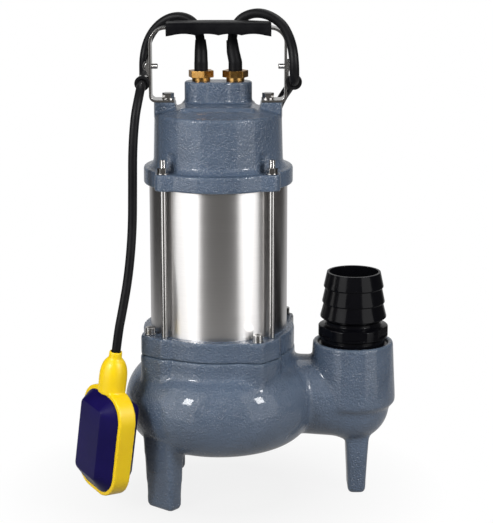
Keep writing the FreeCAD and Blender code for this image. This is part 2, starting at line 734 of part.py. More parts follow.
def motor():
    node(ring("tube_part", S.tube_radius, S.tube_radius - S.tube_wall, S.base_top, S.tube_top), "motor_tube")

    core = doc.addObject("PartDesign::Body", "stator_part")
    section = sketch(core, "stator_section", "XZ_Plane", [
        (S.bore_radius, 0), (S.tube_radius - S.tube_wall - 0.05, 0),
        (S.tube_radius - S.tube_wall - 0.05, S.stack_length), (S.bore_radius, S.stack_length)])
    revolved(core, "stator_ring", section)
    slot = sketch(core, "slot_outline", "XY_Plane", [
        (S.bore_radius - 1, -1.2), (34, -1.2), (35, -2.4), (46, -2.8), (46, 2.8), (35, 2.4), (34, 1.2),
        (S.bore_radius - 1, 1.2)])
    pocket = core.newObject("PartDesign::Pocket", "slot")
    pocket.Profile = slot
    pocket.Type = "ThroughAll"
    pocket.Reversed = True
    around(core, "slots", pocket, slot, S.slot_count)
    node(put(core, 0, 0, S.stack_bottom), "stator_core")

    winding = doc.addObject("PartDesign::Body", "winding_part")
    revolved(winding, "lower_overhang", sketch(winding, "lower_overhang_section", "XZ_Plane", [
        (35, -0.6), (33.6, -4), (35, -17), (38, -19.5), (46, -19.5), (50, -16), (51, -4), (47, -0.6)]))
    bar = sketch(winding, "slot_fill_outline", "XY_Plane", [(35.6, -2.1), (45.4, -2.4), (45.4, 2.4), (35.6, 2.1)], -1)
    fill = winding.newObject("PartDesign::Pad", "slot_fill")
    fill.Profile = bar
    bind(fill, "Length", S.stack_length + 2)
    around(winding, "slot_fills", fill, bar, S.slot_count)
    revolved(winding, "upper_overhang", sketch(winding, "upper_overhang_section", "XZ_Plane", [
        (35, S.stack_length + 0.6), (33.6, S.stack_length + 4), (35, S.stack_length + 14),
        (38, S.stack_length + 16.5), (46, S.stack_length + 16.5), (50, S.stack_length + 13),
        (51, S.stack_length + 4), (47, S.stack_length + 0.6)]))
    winding.Tip = winding.Group[-1]
    node(put(winding, 0, 0, S.stack_bottom), "stator_winding")

    rotor = doc.addObject("PartDesign::Body", "rotor_part")
    revolved(rotor, "rotor_ring", sketch(rotor, "rotor_section", "XZ_Plane", [
        (S.shaft_radius + 0.02, 0), (S.rotor_radius, 0), (S.rotor_radius, S.stack_length),
        (S.shaft_radius + 0.02, S.stack_length)]))
    hole = sketch(rotor, "bar_hole_outline", "XY_Plane", [(24, -1.6), (29, -2.1), (29, 2.1), (24, 1.6)])
    opening = rotor.newObject("PartDesign::Pocket", "bar_hole")
    opening.Profile = hole
    opening.Type = "ThroughAll"
    opening.Reversed = True
    around(rotor, "bar_holes", opening, hole, S.bar_count)
    node(put(rotor, 0, 0, S.stack_bottom), "rotor_core")

    cage = doc.addObject("PartDesign::Body", "cage_part")
    revolved(cage, "lower_end_ring", sketch(cage, "lower_end_section", "XZ_Plane", [
        (19, 0), (19, -5.5), (29.5, -5.5), (30, 0)]))
    bars = sketch(cage, "bar_outline", "XY_Plane", [(24.2, -1.4), (28.8, -1.9), (28.8, 1.9), (24.2, 1.4)], -0.5)
    cast = cage.newObject("PartDesign::Pad", "cast_bar")
    cast.Profile = bars
    bind(cast, "Length", S.stack_length + 1)
    around(cage, "cast_bars", cast, bars, S.bar_count)
    revolved(cage, "upper_end_ring", sketch(cage, "upper_end_section", "XZ_Plane", [
        (19, S.stack_length), (30, S.stack_length), (29.5, S.stack_length + 5.5), (19, S.stack_length + 5.5)]))
    cage.Tip = cage.Group[-1]
    node(put(cage, 0, 0, S.stack_bottom), "rotor_cage")


def shaft_and_bearings():
    body = turned("shaft_turned", [
        (0, S.nose_bottom), (S.nose_radius, S.nose_bottom), (S.nose_radius, 64), (S.seal_journal, 64),
        (S.seal_journal, 104), (S.lower_journal, 104), (S.lower_journal, S.lower_bearing + 12),
        (S.shaft_radius, S.lower_bearing + 12), (S.shaft_radius, S.upper_bearing), (S.upper_journal, S.upper_bearing),
        (S.upper_journal, 215.5), (0, 215.5)])
    thread = rod("nose_thread", 4, S.nose_bottom - 1, 62.5)
    keyway = block("shaft_keyway", (4.9, -2.02, 46.9), (9, 2.02, 61.1))
    node(cut("shaft_part", body, thread, keyway), "shaft")
    node(block("key_part", (5, -2, 47), (9, 2, 61)), "shaft_key")

    outer, inner, balls = [], [], []
    for name, radius, journal, bottom, width, pitch, size in (
            ("lower", S.lower_bearing_radius, S.lower_journal, S.lower_bearing, 12, 14.25, 3.375),
            ("upper", S.upper_bearing_radius, S.upper_journal, S.upper_bearing, 11, 12.5, 2.95)):
        middle = bottom + width / 2
        track = ring_bead(name + "_outer_track", pitch, size + 0.06, middle)
        outer.append(cut(name + "_outer_ring", ring(name + "_outer_blank", radius, pitch + 2, bottom, bottom + width),
                         track))
        track = ring_bead(name + "_inner_track", pitch, size + 0.06, middle)
        inner.append(cut(name + "_inner_ring", ring(name + "_inner_blank", pitch - 2, journal, bottom, bottom + width),
                         track))
        for k in range(8):
            angle = math.tau * k / 8
            balls.append(ball("%s_ball_%d" % (name, k), size, pitch * math.cos(angle), pitch * math.sin(angle), middle))
    node(group("outer_rings", *outer), "bearing_outer_rings")
    node(group("inner_rings", *inner), "bearing_inner_rings")
    node(group("balls", *balls), "bearing_balls")


def impeller():
    body = doc.addObject("PartDesign::Body", "impeller_body")
    revolved(body, "impeller_disc", sketch(body, "impeller_section", "XZ_Plane", [
        (S.nose_radius + 0.03, S.nose_bottom), (12.5, S.nose_bottom), (15, S.shroud_bottom),
        (S.impeller_radius, S.shroud_bottom), (S.impeller_radius, S.shroud_bottom + 3.5), (15, 59.5), (13, 63.6),
        (S.nose_radius + 0.03, 63.6)]))
    blade = sketch(body, "blade_outline", "XY_Plane", [
        (12, -2), (30, -0.5), (S.impeller_radius - 1, 5), (S.impeller_radius - 1, 9), (29, 3.6), (12, 2)],
        S.blade_bottom)
    pad = body.newObject("PartDesign::Pad", "blade")
    pad.Profile = blade
    bind(pad, "Length", S.shroud_bottom - S.blade_bottom + 0.5)
    around(body, "blades", pad, blade, S.blade_count)
    keyway = block("impeller_keyway", (0, -2.02, S.nose_bottom - 1), (9.1, 2.02, 65))
    node(cut("impeller_part", body, keyway), "impeller")
    head = hexagon("impeller_bolt_head", 13, 37, 42.4)
    flange = rod("impeller_bolt_flange", 10, 42.3, S.nose_bottom)
    shank = rod("impeller_bolt_shank", 3.95, 43, 62)
    node(joined("impeller_bolt_part", head, flange, shank), "impeller_bolt")


# Bearing bracket, cover and what the cover holds

def bearing_bracket():
    disc = turned("bracket_disc", [
        (S.upper_bearing_radius, 203), (22, 203), (23.5, 218), (52, 218), (52, 212), (S.tube_spigot_radius, 212),
        (S.tube_spigot_radius, S.tube_top), (58.4, S.tube_top), (58.4, 225), (0, 225), (0, 216.8),
        (S.upper_bearing_radius, 216.8)])
    node(cut("bracket_part", disc, ring("bracket_groove", 60, 54.2, 215.8, 218.2),
             rod("wire_hole", 6, 200, 230, 0, -34)), "upper_bearing_bracket")
    node(ring("wave_washer_part", 17.3, 13, 215.05, 216.7), "bearing_wave_washer")
    node(ring("cover_gasket_part", 58.4, 50, 225, 226), "cover_gasket")


def upper_cover():
    half = S.stud_offset
    edge = S.stud_offset + S.stud_lug
    flange = joined(
        "cover_flange", rod("flange_round", S.flange_radius, S.tube_top, S.flange_top),
        block("flange_long", (-half, -edge, S.tube_top), (half, edge, S.flange_top)),
        block("flange_wide", (-edge, -half, S.tube_top), (edge, half, S.flange_top)),
        *[rod("flange_corner_%d" % i, S.stud_lug, S.tube_top, S.flange_top, x, y) for i, (x, y) in enumerate(STUDS)])
    wall = cone("cover_wall", S.cover_radius + S.cover_draft, S.cover_radius, S.flange_top - 1, S.cover_top)
    skirt = cone("cover_skirt", S.cover_radius + S.cover_draft + 4, S.cover_radius + S.cover_draft - 0.1,
                 S.flange_top - 0.5, S.flange_top + 4.5)
    body = rounded("cover_body", joined("cover_rough", flange, wall), 2.5,
                   lambda e: level(e) is not None and (abs(level(e) - float(S.cover_top)) < 0.01))
    rise = cone("cover_rise", S.cover_radius - 3, 37, S.cover_top - 0.2, S.cover_top + 3.4)
    lobes = []
    for i, side in enumerate((-1, 1)):
        lobes.append(rod("lobe_%d" % i, S.lobe_radius, S.pad_top - 1, S.box_top, S.gland_x * side, S.gland_y))
        lobes.append(cone("lobe_foot_%d" % i, S.lobe_radius + 2, S.lobe_radius, S.pad_top - 1, S.pad_top + 2,
                          S.gland_x * side, S.gland_y))
    lobes.append(block("waist", (-S.gland_x, S.gland_y - 12.2, S.pad_top - 1), (S.gland_x, S.gland_y + 12.2, S.box_top)))
    cable_box = rounded("cable_box", joined("cable_box_rough", *lobes), 1.4,
                        lambda e: level(e) is not None and abs(level(e) - float(S.box_top)) < 0.01)
    slab = block("pad_rough", (S.pad_half * -1, S.pad_depth * -1, S.cover_top - 2), (S.pad_half, S.pad_depth, S.pad_top))
    pad = rounded("pad", rounded("pad_corners", slab, 5, lambda e: e.BoundBox.ZLength > 3), 1.3,
                  lambda e: level(e) is not None and abs(level(e) - float(S.pad_top)) < 0.01)
    bosses = []
    for i, side in enumerate((-1, 1)):
        low = S.handle_bolt_x * side - 6.3 if side > 0 else -S.cover_radius * 2
        high = S.cover_radius * 2 if side > 0 else S.handle_bolt_x * side + 6.3
        bosses.append(shared("boss_%d" % i, block("boss_block_%d" % i, (low, -11.5, 278), (high, 11.5, S.boss_top)),
                             rod("boss_round_%d" % i, S.cover_radius + 0.4, 278, S.boss_top)))
    outside = joined("cover_outside", body, skirt, rise, pad, cable_box, *bosses)
    hollows = [rod("cover_room", S.cover_cavity, S.tube_top - 1, S.cover_top - 5),
               rod("cover_recess", 58.6, S.tube_top - 1, 226)]
    for i, side in enumerate((-1, 1)):
        hollows.append(rod("gland_hole_%d" % i, 6.5, 275, S.box_top + 1, S.gland_x * side, S.gland_y))
        hollows.append(rod("handle_hole_%d" % i, 2.6, 279, S.boss_top + 1, S.handle_bolt_x * side))
    for i, (x, y) in enumerate(STUDS):
        hollows.append(rod("stud_hole_%d" % i, 2.7, S.tube_top - 1, S.flange_top + 1, x, y))
        hollows.append(rod("stud_scallop_%d" % i, 10.6, S.flange_top, S.flange_top + 16, x, y))
    node(cut("cover", outside, *hollows), "upper_cover")


def cover_contents():
    node(rod_along("capacitor_part", "x", 15, (-29, 22, 243), 58), "capacitor")
    band = cut("capacitor_band", rod_along("band_outer", "x", 15.9, (-6, 22, 243), 12),
               rod_along("band_inner", "x", 15.03, (-7, 22, 243), 14))
    foot_plate = cut("band_foot", block("band_foot_block", (-6, 10, 225), (6, 34, 230)),
                     rod_along("band_foot_hollow", "x", 15.03, (-7, 22, 243), 14))
    node(joined("capacitor_clip_part", band, foot_plate), "capacitor_clip")
    blank = block("terminal_blank", (-17, -26, 225), (17, -12, 237))
    holes = []
    for k, x in enumerate((-11, 0, 11)):
        holes.append(rod("terminal_well_%d" % k, 2.4, 231, 238, x, -15.5))
        holes.append(rod("terminal_well_b%d" % k, 2.4, 231, 238, x, -22.5))
    node(cut("terminal_part", blank, *holes), "terminal_block")


def tie_rods():
    rods, nuts = [], []
    for i, (x, y) in enumerate(STUDS):
        rods.append(rod("tie_rod_%d" % i, 2.45, 85.5, S.flange_top + 11.8, x, y))
        nuts.append(cut("stud_nut_%d" % i, hexagon("stud_nut_hex_%d" % i, 8, S.flange_top + 1, S.flange_top + 5, x, y),
                        rod("stud_nut_bore_%d" % i, 2.5, S.flange_top, S.flange_top + 6, x, y)))
    node(group("rods", *rods), "tie_rods")
    node(group("nuts", *nuts), "tie_rod_nuts")


# Handle of bent stainless strip with a rubber grip, and the two cable clips

def strip_path():
    half, top, foot_end = float(S.strip_half), float(S.strip_top), float(S.handle_bolt_x) - 5.6
    foot_level = float(S.boss_top) + float(S.strip_thickness) / 2
    points = [(foot_end, 0, foot_level), (half, 0, foot_level), (half, 0, top), (-half, 0, top),
              (-half, 0, foot_level), (-foot_end, 0, foot_level)]
    return rounded_path(points, radii=[4.5, 13, 13, 4.5])[0]


def handle():
    path = strip_path()
    wide, thick = float(S.strip_width) / 2, float(S.strip_thickness) / 2
    start = Vector(float(S.handle_bolt_x) - 5.6, 0, float(S.boss_top) + thick)
    profile = Part.makePolygon([start + Vector(0, a * wide, b * thick)
                                for a, b in ((-1, -1), (1, -1), (1, 1), (-1, 1), (-1, -1))])
    bent = fixed_shape("bent_strip", swept(profile, path))
    holes = []
    for i, side in enumerate((-1, 1)):
        holes.append(rod("strip_bolt_hole_%d" % i, 3.1, 285, 300, S.handle_bolt_x * side))
        holes.append(rod_along("strip_clip_hole_%d" % i, "x", 2.05, (S.strip_half * side - 10, 0, S.clip_screw_height), 20))
    node(cut("strip_part", bent, *holes), "handle_strip")

    half = float(S.grip_half)
    top, bottom = 356.2, 345.4
    outline = [Part.Arc(Vector(-half, 0, top), Vector(0, 0, top + 1.2), Vector(half, 0, top)).toShape(),
               Part.LineSegment(Vector(half, 0, top), Vector(half, 0, bottom)).toShape(),
               Part.LineSegment(Vector(half, 0, bottom), Vector(half - 5.3, 0, bottom + 1)).toShape()]
    ridge = half - 5.3
    for k in range(4):
        right = ridge - k * ridge / 2
        left = right - ridge / 2
        middle = Vector((left + right) / 2, 0, bottom + 2.3)
        outline.append(Part.Arc(Vector(right, 0, bottom + 1), middle, Vector(left, 0, bottom + 1)).toShape())
    outline.append(Part.LineSegment(Vector(-ridge, 0, bottom + 1), Vector(-half, 0, bottom)).toShape())
    outline.append(Part.LineSegment(Vector(-half, 0, bottom), Vector(-half, 0, top)).toShape())
    side_view = Part.Face(Part.Wire(outline)).extrude(Vector(0, float(S.grip_depth), 0))
    side_view.translate(Vector(0, -float(S.grip_depth) / 2, 0))
    long_block = rounded("grip_block", block("grip_rough", (-S.grip_half - 1, S.grip_depth * -0.5, 345),
                                             (S.grip_half + 1, S.grip_depth * 0.5, 357.4)), 4.6,
                         lambda e: e.BoundBox.XLength > 50)
    sleeve = shared("grip_sleeve", fixed_shape("grip_side_view", side_view), long_block)
    slot = block("grip_slot", (-60, S.strip_width * -0.5 - 0.1, S.strip_top - 1.05),
                 (60, S.strip_width * 0.5 + 0.1, S.strip_top + 1.05))
    node(put(cut("grip_part", sleeve, slot), S.grip_shift), "handle_grip")

    bolts = []
    for i, side in enumerate((-1, 1)):
        head = hexagon("handle_bolt_head_%d" % i, 8.5, S.boss_top + 3, S.boss_top + 7, S.handle_bolt_x * side)
        washer = rod("handle_bolt_flange_%d" % i, 5.2, S.boss_top + 2, S.boss_top + 3.05, S.handle_bolt_x * side)
        shank = rod("handle_bolt_shank_%d" % i, 2.55, 280, S.boss_top + 3.5, S.handle_bolt_x * side)
        bolts.append(joined("handle_bolt_%d" % i, head, washer, shank))
    node(group("bolts", *bolts), "handle_bolts")


def cable_clips():
    """Steel bands with rubber linings; the right one is turned about its screw."""
    bands, linings, screws = [], [], []
    for name, side, cable_radius, tilt in (("left", -1, S.float_cable / 2, 0),
                                           ("right", 1, S.power_cable / 2, S.clip_tilt)):
        face = S.strip_half + S.strip_thickness / 2
        lining_radius = cable_radius + S.clip_lining
        band_radius = lining_radius + S.clip_band
        centre = face + band_radius
        around_ring = rod_along(name + "_band_outer", "y", band_radius, (centre, -5, -S.clip_drop), 10)
        tab = block(name + "_tab_block", (face, -5, -S.clip_drop), (face + 1.6, 5, 6))
        hole = rod_along(name + "_band_inner", "y", lining_radius + 0.02, (centre, -6, -S.clip_drop), 12)
        screw_hole = rod_along(name + "_tab_hole", "x", 2.15, (face - 1, 0, 0), 5)
        band = cut(name + "_band", joined(name + "_band_whole", around_ring, tab), hole, screw_hole)
        front = -12 if side > 0 else 11
        lip = rod_along(name + "_lip", "y", band_radius + 0.8, (centre, min(front, front - 1.2 * side), -S.clip_drop), 1.2)
        sleeve = rod_along(name + "_lining_outer", "y", lining_radius, (centre, min(front, -5.6), -S.clip_drop),
                           abs(front) + 5.6)
        lining = cut(name + "_lining", joined(name + "_lining_whole", sleeve, lip),
                     rod_along(name + "_lining_inner", "y", cable_radius + 0.04, (centre, -14, -S.clip_drop), 28))
        mirror = Rotation(Vector(0, 0, 1), 0 if side > 0 else 180)
        tip = Rotation(Vector(1, 0, 0), -float(tilt))
        for thing, bag in ((band, bands), (lining, linings)):
            thing.Placement = Placement(Vector(), tip.multiply(mirror))
            bag.append(put(thing, 0, 0, S.clip_screw_height))
        outer = face + 1.6
        head = ball(name + "_screw_dome", 5, outer - 1.2, 0, 0)
        keep = block(name + "_screw_keep", (outer, -4, -4), (outer + 6, 4, 4))
        dome = shared(name + "_screw_head", head, keep)
        shank = rod_along(name + "_screw_shank", "x", 2, (face - 6.8, 0, 0), 9)
        slot = block(name + "_screw_slot", (outer + 2.6, -0.5, -5), (outer + 6, 0.5, 5))
        screw = cut(name + "_clip_screw", joined(name + "_screw_whole", dome, shank), slot)
        screw.Placement = Placement(Vector(), mirror)
        screws.append(put(screw, 0, 0, S.clip_screw_height))
    node(group("bands", *bands), "cable_clips")
    node(group("linings", *linings), "clip_linings")
    node(group("clip_screw_pair", *screws), "clip_screws")


# Hose tail of glossy black plastic, screwed into the outlet

def hose_tail():
    body = turned("tail_turned", [
        (S.tail_bore, 66), (29.6, 66), (29.6, 82.5), (27.3, 82.5), (27.3, 89), (S.collar_radius - 0.8, 89),
        (S.collar_radius, 90), (S.collar_radius, 98.2), (S.collar_radius - 0.8, 99), (24.6, 100), (23.7, 101),
        (23.7, 103), (28.2, 106.4), (28.2, 107.4), (25.4, 118.4), (26.7, 119.4), (26.7, 120.2), (24.3, 131.6),
        (25.5, 132.6), (25.5, 133.4), (22.9, S.tail_top), (S.tail_bore, S.tail_top)])
    trim = cut("flat_tool", rod("flat_tool_round", 36, 91.5, 101), hexagon("flat_tool_hexagon", 56.5, 90, 102))
    part = cut("tail_part", body, trim)
    node(put(part, S.outlet_x, 0, 0), "hose_tail")
    node(ring("tail_gasket_part", 29.5, 25.2, S.outlet_thread_bottom, S.outlet_thread_bottom + 2.9, S.outlet_x),
         "hose_tail_gasket")


# Glands on the cable box and the cables that leave them

FLOAT_ROUTE_UPPER = [
    (-14.3, 12, 311.05), (-14.3, 12, 322), (-14.4, 14.4, 330.8), (-14.8, 17.1, 340), (-16.8, 19.5, 349),
    (-22.4, 21.8, 356.3), (-31.1, 24, 359.2), (-40.3, 26.4, 357.9), (-48.3, 28.8, 353.3), (-54.8, 31, 346.7),
    (-59.5, 32.7, 338.6), (-62.3, 32.8, 329.5), (-63.4, 30, 320.5), (-63.1, 24.3, 312.8), (-62.6, 16, 308),
    (-62.5, 6, 307), (-62.5, 2.5, 307)]
FLOAT_ROUTE_LOWER = [
    (-62.5, 2.4, 307), (-62.5, -20, 307), (-64.2, -31, 297.6), (-67, -37.6, 283), (-69, -41, 257),
    (-69.4, -42, 226), (-69.9, -44.6, 190), (-73, -51.6, 155), (-77.9, -58, 127)]
POWER_ROUTE = [
    (14.3, 12, 311.05), (14.3, 12, 322), (12.4, 14.4, 330.6), (11.4, 17.1, 339.8), (13, 19.4, 349),
    (18.1, 19, 357), (25.8, 15.7, 361.5), (33.9, 10.6, 363), (41.5, 4.2, 361.8), (48.1, -3, 358.7),
    (53.8, -10.6, 354.2), (57.6, -17, 347.7), (60.3, -23.2, 340.4), (61.8, -27.8, 331.8), (62.5, -29.4, 321.6),
    (62.7, -25.5, 314), (62.7, -18.6, 309.2), (62.7, -7, 307.766), (62.7, 24, 303.96), (50.5, 42, 283),
    (46.8, 54.4, 262), (45.6, 61, 240), (46, 64.6, 216), (46.8, 66.4, 194), (47.8, 68.8, 172), (50, 73.2, 144),
    (52.6, 79.6, 113), (55, 87.8, 82), (56.4, 96.4, 51), (56.2, 103.6, 24)]


def glands_and_cables():
    glands, nuts, seals, sleeves = [], [], [], []
    routes = {-1: (FLOAT_ROUTE_UPPER, S.float_cable), 1: (POWER_ROUTE, S.power_cable)}
    for side, (route, diameter) in routes.items():
        x = S.gland_x * side
        name = "left" if side < 0 else "right"
        bore = diameter / 2 + 0.05
        whole = joined(name + "_gland_whole", rod(name + "_gland_stem", 6.4, 291, S.box_top + 0.5, x, S.gland_y),
                       rod(name + "_gland_collar", 7.6, S.box_top, S.nut_top - S.nut_height, x, S.gland_y))
        glands.append(cut(name + "_gland", whole, rod(name + "_gland_bore", 5.4, 290, S.nut_top, x, S.gland_y)))
        hexagonal = hexagon(name + "_nut_hexagon", 19, S.nut_top - S.nut_height, S.nut_top, x, S.gland_y)
        turn = Rotation(Vector(0, 0, 1), -15 if side < 0 else 6)
        hexagonal.Placement = Placement(hexagonal.Placement.Base, turn.multiply(hexagonal.Placement.Rotation))
        nuts.append(cut(name + "_gland_nut", hexagonal,
                        rod(name + "_nut_bore", 5.95, S.nut_top - 7, S.nut_top + 1, x, S.gland_y)))
        seals.append(rod(name + "_seal", 5.35, 292, S.nut_top - 4.3, x, S.gland_y))
        core = rounded_path(route[:6])[0]
        hollow = fixed_shape(name + "_sleeve_hollow", swept(round_section(core, float(bore)), core))
        pieces = [rod(name + "_sleeve_foot", 5.75, S.nut_top - 3.9, float(route[1][2]), x, S.gland_y)]
        for k, (low, high) in enumerate(((5.65, 5.4), (5.4, diameter / 2 + 0.7)), start=1):
            start, end = Vector(*route[k]), Vector(*route[k + 1])
            lean = doc.addObject("Part::Cone", "%s_sleeve_lean_%d" % (name, k))
            bind(lean, "Radius1", low)
            bind(lean, "Radius2", high)
            lean.Height = (end - start).Length
            lean.Placement = Placement(start, Rotation(Vector(0, 0, 1), end - start))
            pieces += [ball("%s_sleeve_knee_%d" % (name, k), low, *route[k]), lean]
        sleeves.append(cut(name + "_sleeve", joined(name + "_sleeve_whole", *pieces), hollow))
    node(group("glands", *glands), "cable_glands")
    node(group("nut_pair", *nuts), "gland_nuts")
    node(group("seal_pair", *seals), "gland_seals")
    node(group("sleeve_pair", *sleeves), "cable_sleeves")
    node(cable("float_cable_upper_part", FLOAT_ROUTE_UPPER, S.float_cable), "float_cable_upper")


def coil_place(at):
    """A point of the coil after so many turns: four layers, in and out again, from the top down."""
    layer_turns = float(S.coil_layer_turns)
    step = float(S.coil_step)
    layer = min(3, int(at // layer_turns)) if at > 0 else 0
    through = at - layer * layer_turns
    radius = float(S.coil_outer) - step * (through if layer % 2 == 0 else layer_turns - through)
    drop = 0
    for k in (1, 2, 3):
        passed = (at - k * layer_turns + 0.25) / 0.5
        drop += step * (0.5 - 0.5 * math.cos(math.pi * max(0, min(1, passed))))
    angle = math.radians(-80) - math.tau * at
    top = float(S.floor_level) + float(S.coil_lift) + float(S.power_cable) / 2 + 3 * step
    return Vector(float(S.coil_x) + radius * math.cos(angle), float(S.coil_y) + radius * math.sin(angle), top - drop)


def power_cord():
    turns = 4 * float(S.coil_layer_turns)
    landing = coil_place(0)
    onto = Vector(math.sin(math.radians(-80)), -math.cos(math.radians(-80)), 0)
    bend = [landing - onto * 38 + Vector(0, 0, 22), landing - onto * 30 + Vector(0, 0, 8), landing - onto * 16]
    route = POWER_ROUTE + [tuple(p) for p in bend] + [tuple(landing)]
    node(cable("power_cable_part", route, S.power_cable), "power_cable")

    print("power_cable_coil: least gap %.2f" % least_gap(coil_place, turns, S.power_cable))
    coil_path = wound_path(coil_place, turns, 54)
    node(checked_tube("coil_part", coil_path, S.power_cable / 2), "power_cable_coil")

    end = coil_place(turns)
    rise = float(S.floor_level) + 14 - end.z
    tail = [tuple(end), (end.x + 13, end.y, end.z), (end.x + 31, end.y, end.z + rise), (end.x + 44, end.y, end.z + rise)]
    node(cable("tail_stretch", tail, S.power_cable), "power_cable_tail")

    start = Vector(*tail[-1])
    relief = doc.addObject("Part::Cone", "plug_relief")
    relief.Radius1, relief.Radius2, relief.Height = 5.6, 9.5, 24
    turn(relief, (0, 1, 0), 90)
    put(relief, start.x - 2, start.y, start.z)
    drum = rod_along("plug_drum", "x", 19, (start.x + 20, start.y, start.z), 36)
    limits = block("plug_limits", (start.x + 19, start.y - 20, start.z - 14), (start.x + 57, start.y + 20, start.z + 14))
    body = rounded("plug_body", shared("plug_rough", drum, limits), 2.5,
                   lambda e: e.BoundBox.XLength < 0.01)
    bore = rod_along("plug_bore", "x", S.power_cable / 2 + 0.05, (start.x - 4, start.y, start.z), 4.05)
    pins = [rod_along("pin_%d" % i, "x", 2.4, (start.x + 50, start.y + 9.5 * side, start.z), 25)
            for i, side in enumerate((-1, 1))]
    holes = [rod_along("pin_hole_%d" % i, "x", 2.4, (start.x + 50, start.y + 9.5 * side, start.z), 10)
             for i, side in enumerate((-1, 1))]
    node(cut("plug_part", joined("plug_whole_body", relief, body), bore, *holes), "power_plug")
    node(group("pins", *pins), "plug_pins")

    ties = []
    inside = float(S.coil_outer) - float(S.coil_step) * float(S.coil_layer_turns) - float(S.power_cable) / 2 - 0.5
    outside = float(S.coil_outer) + float(S.power_cable) / 2 + 0.5
    low = float(S.floor_level) + float(S.coil_lift)
    high = low + float(S.power_cable) + 3 * float(S.coil_step) + 0.3
    for i, angle in enumerate((20, 200)):
        frame = block("tie_outer_%d" % i, (inside - 1, -3, low - 1), (outside + 1, 3, high + 1))
        room = block("tie_inner_%d" % i, (inside, -4, low - 0.1), (outside, 4, high))
        soft_frame = rounded("tie_frame_%d" % i, frame, 4.9, lambda e: e.BoundBox.YLength > 5)
        soft_room = rounded("tie_room_%d" % i, room, 3.9, lambda e: e.BoundBox.YLength > 5)
        head = block("tie_head_%d" % i, ((inside + outside) / 2 - 5, -3.6, high + 0.1),
                     ((inside + outside) / 2 + 5, 3.6, high + 5))
        tie = joined("tie_%d" % i, cut("tie_band_%d" % i, soft_frame, soft_room), head)
        turn(tie, (0, 0, 1), angle)
        ties.append(put(tie, S.coil_x, S.coil_y, 0))
    node(group("ties", *ties), "coil_ties")


# Float switch, built upright about its own middle and then hung in place

FLOAT_MIDDLE = Vector(-93.8, -52.96, 13.64)
FLOAT_AXIS = Vector(0.1234, -0.0887, 0.992).normalize()
FLOAT_FACE = Vector(-0.82, -0.57, 0)


def float_placement():
    across = FLOAT_AXIS.cross(FLOAT_FACE).normalize()
    face = across.cross(FLOAT_AXIS)
    return Placement(FLOAT_MIDDLE, Rotation(face, across, FLOAT_AXIS, "XYZ"))


def rounded_slab(name, width, height, corner, low, high):
    """A slab in the float's YZ plane, from low to high along its thickness."""
    slab = block(name + "_block", (low, width * -0.5, height * -0.5), (high, width * 0.5, height * 0.5))
    return rounded(name, slab, corner, lambda e: e.BoundBox.XLength > 0.1)


def rounded_outline(x, half_width, low, high, corner):
    """A closed wire in a plane across X: a rectangle with round corners."""
    middles = [(half_width - corner, high - corner, 0), (corner - half_width, high - corner, 90),
               (corner - half_width, low + corner, 180), (half_width - corner, low + corner, 270)]
    edges = []
    for i, (y, z, first) in enumerate(middles):
        spots = [Vector(x, y + corner * math.cos(math.radians(first + turned_by)),
                        z + corner * math.sin(math.radians(first + turned_by))) for turned_by in (0, 45, 90)]
        edges.append(Part.Arc(*spots).toShape())
        y, z, first = middles[(i + 1) % 4]
        after = Vector(x, y + corner * math.cos(math.radians(first)), z + corner * math.sin(math.radians(first)))
        edges.append(Part.LineSegment(spots[-1], after).toShape())
    return Part.Wire(edges)


SHELL_TOP_SLOPE = 9
SHELL_FOOT_SLOPE = 14
SHELL_CORNER = 19
SHELL_FLAT_CORNER = 4
SHELL_WALL = 2


def shell_solid(name, side, inset, depth):
    """One half of the float: a broad base with round corners that slopes in to a flat face."""
    start = float(S.band_thickness) / 2 + 0.02
    half = float(S.float_width) / 2 - float(S.shell_margin) - inset
    high = float(S.float_height) / 2 - float(S.shell_margin) - inset
    base = rounded_outline(start * side, half, -high, high, SHELL_CORNER - inset)
    flat = rounded_outline((start + depth) * side, half - float(S.shell_slope), SHELL_FOOT_SLOPE - high,
                           high - SHELL_TOP_SLOPE, SHELL_FLAT_CORNER - min(inset, 1))
    return fixed_shape(name, Part.makeLoft([base, flat], True, True))


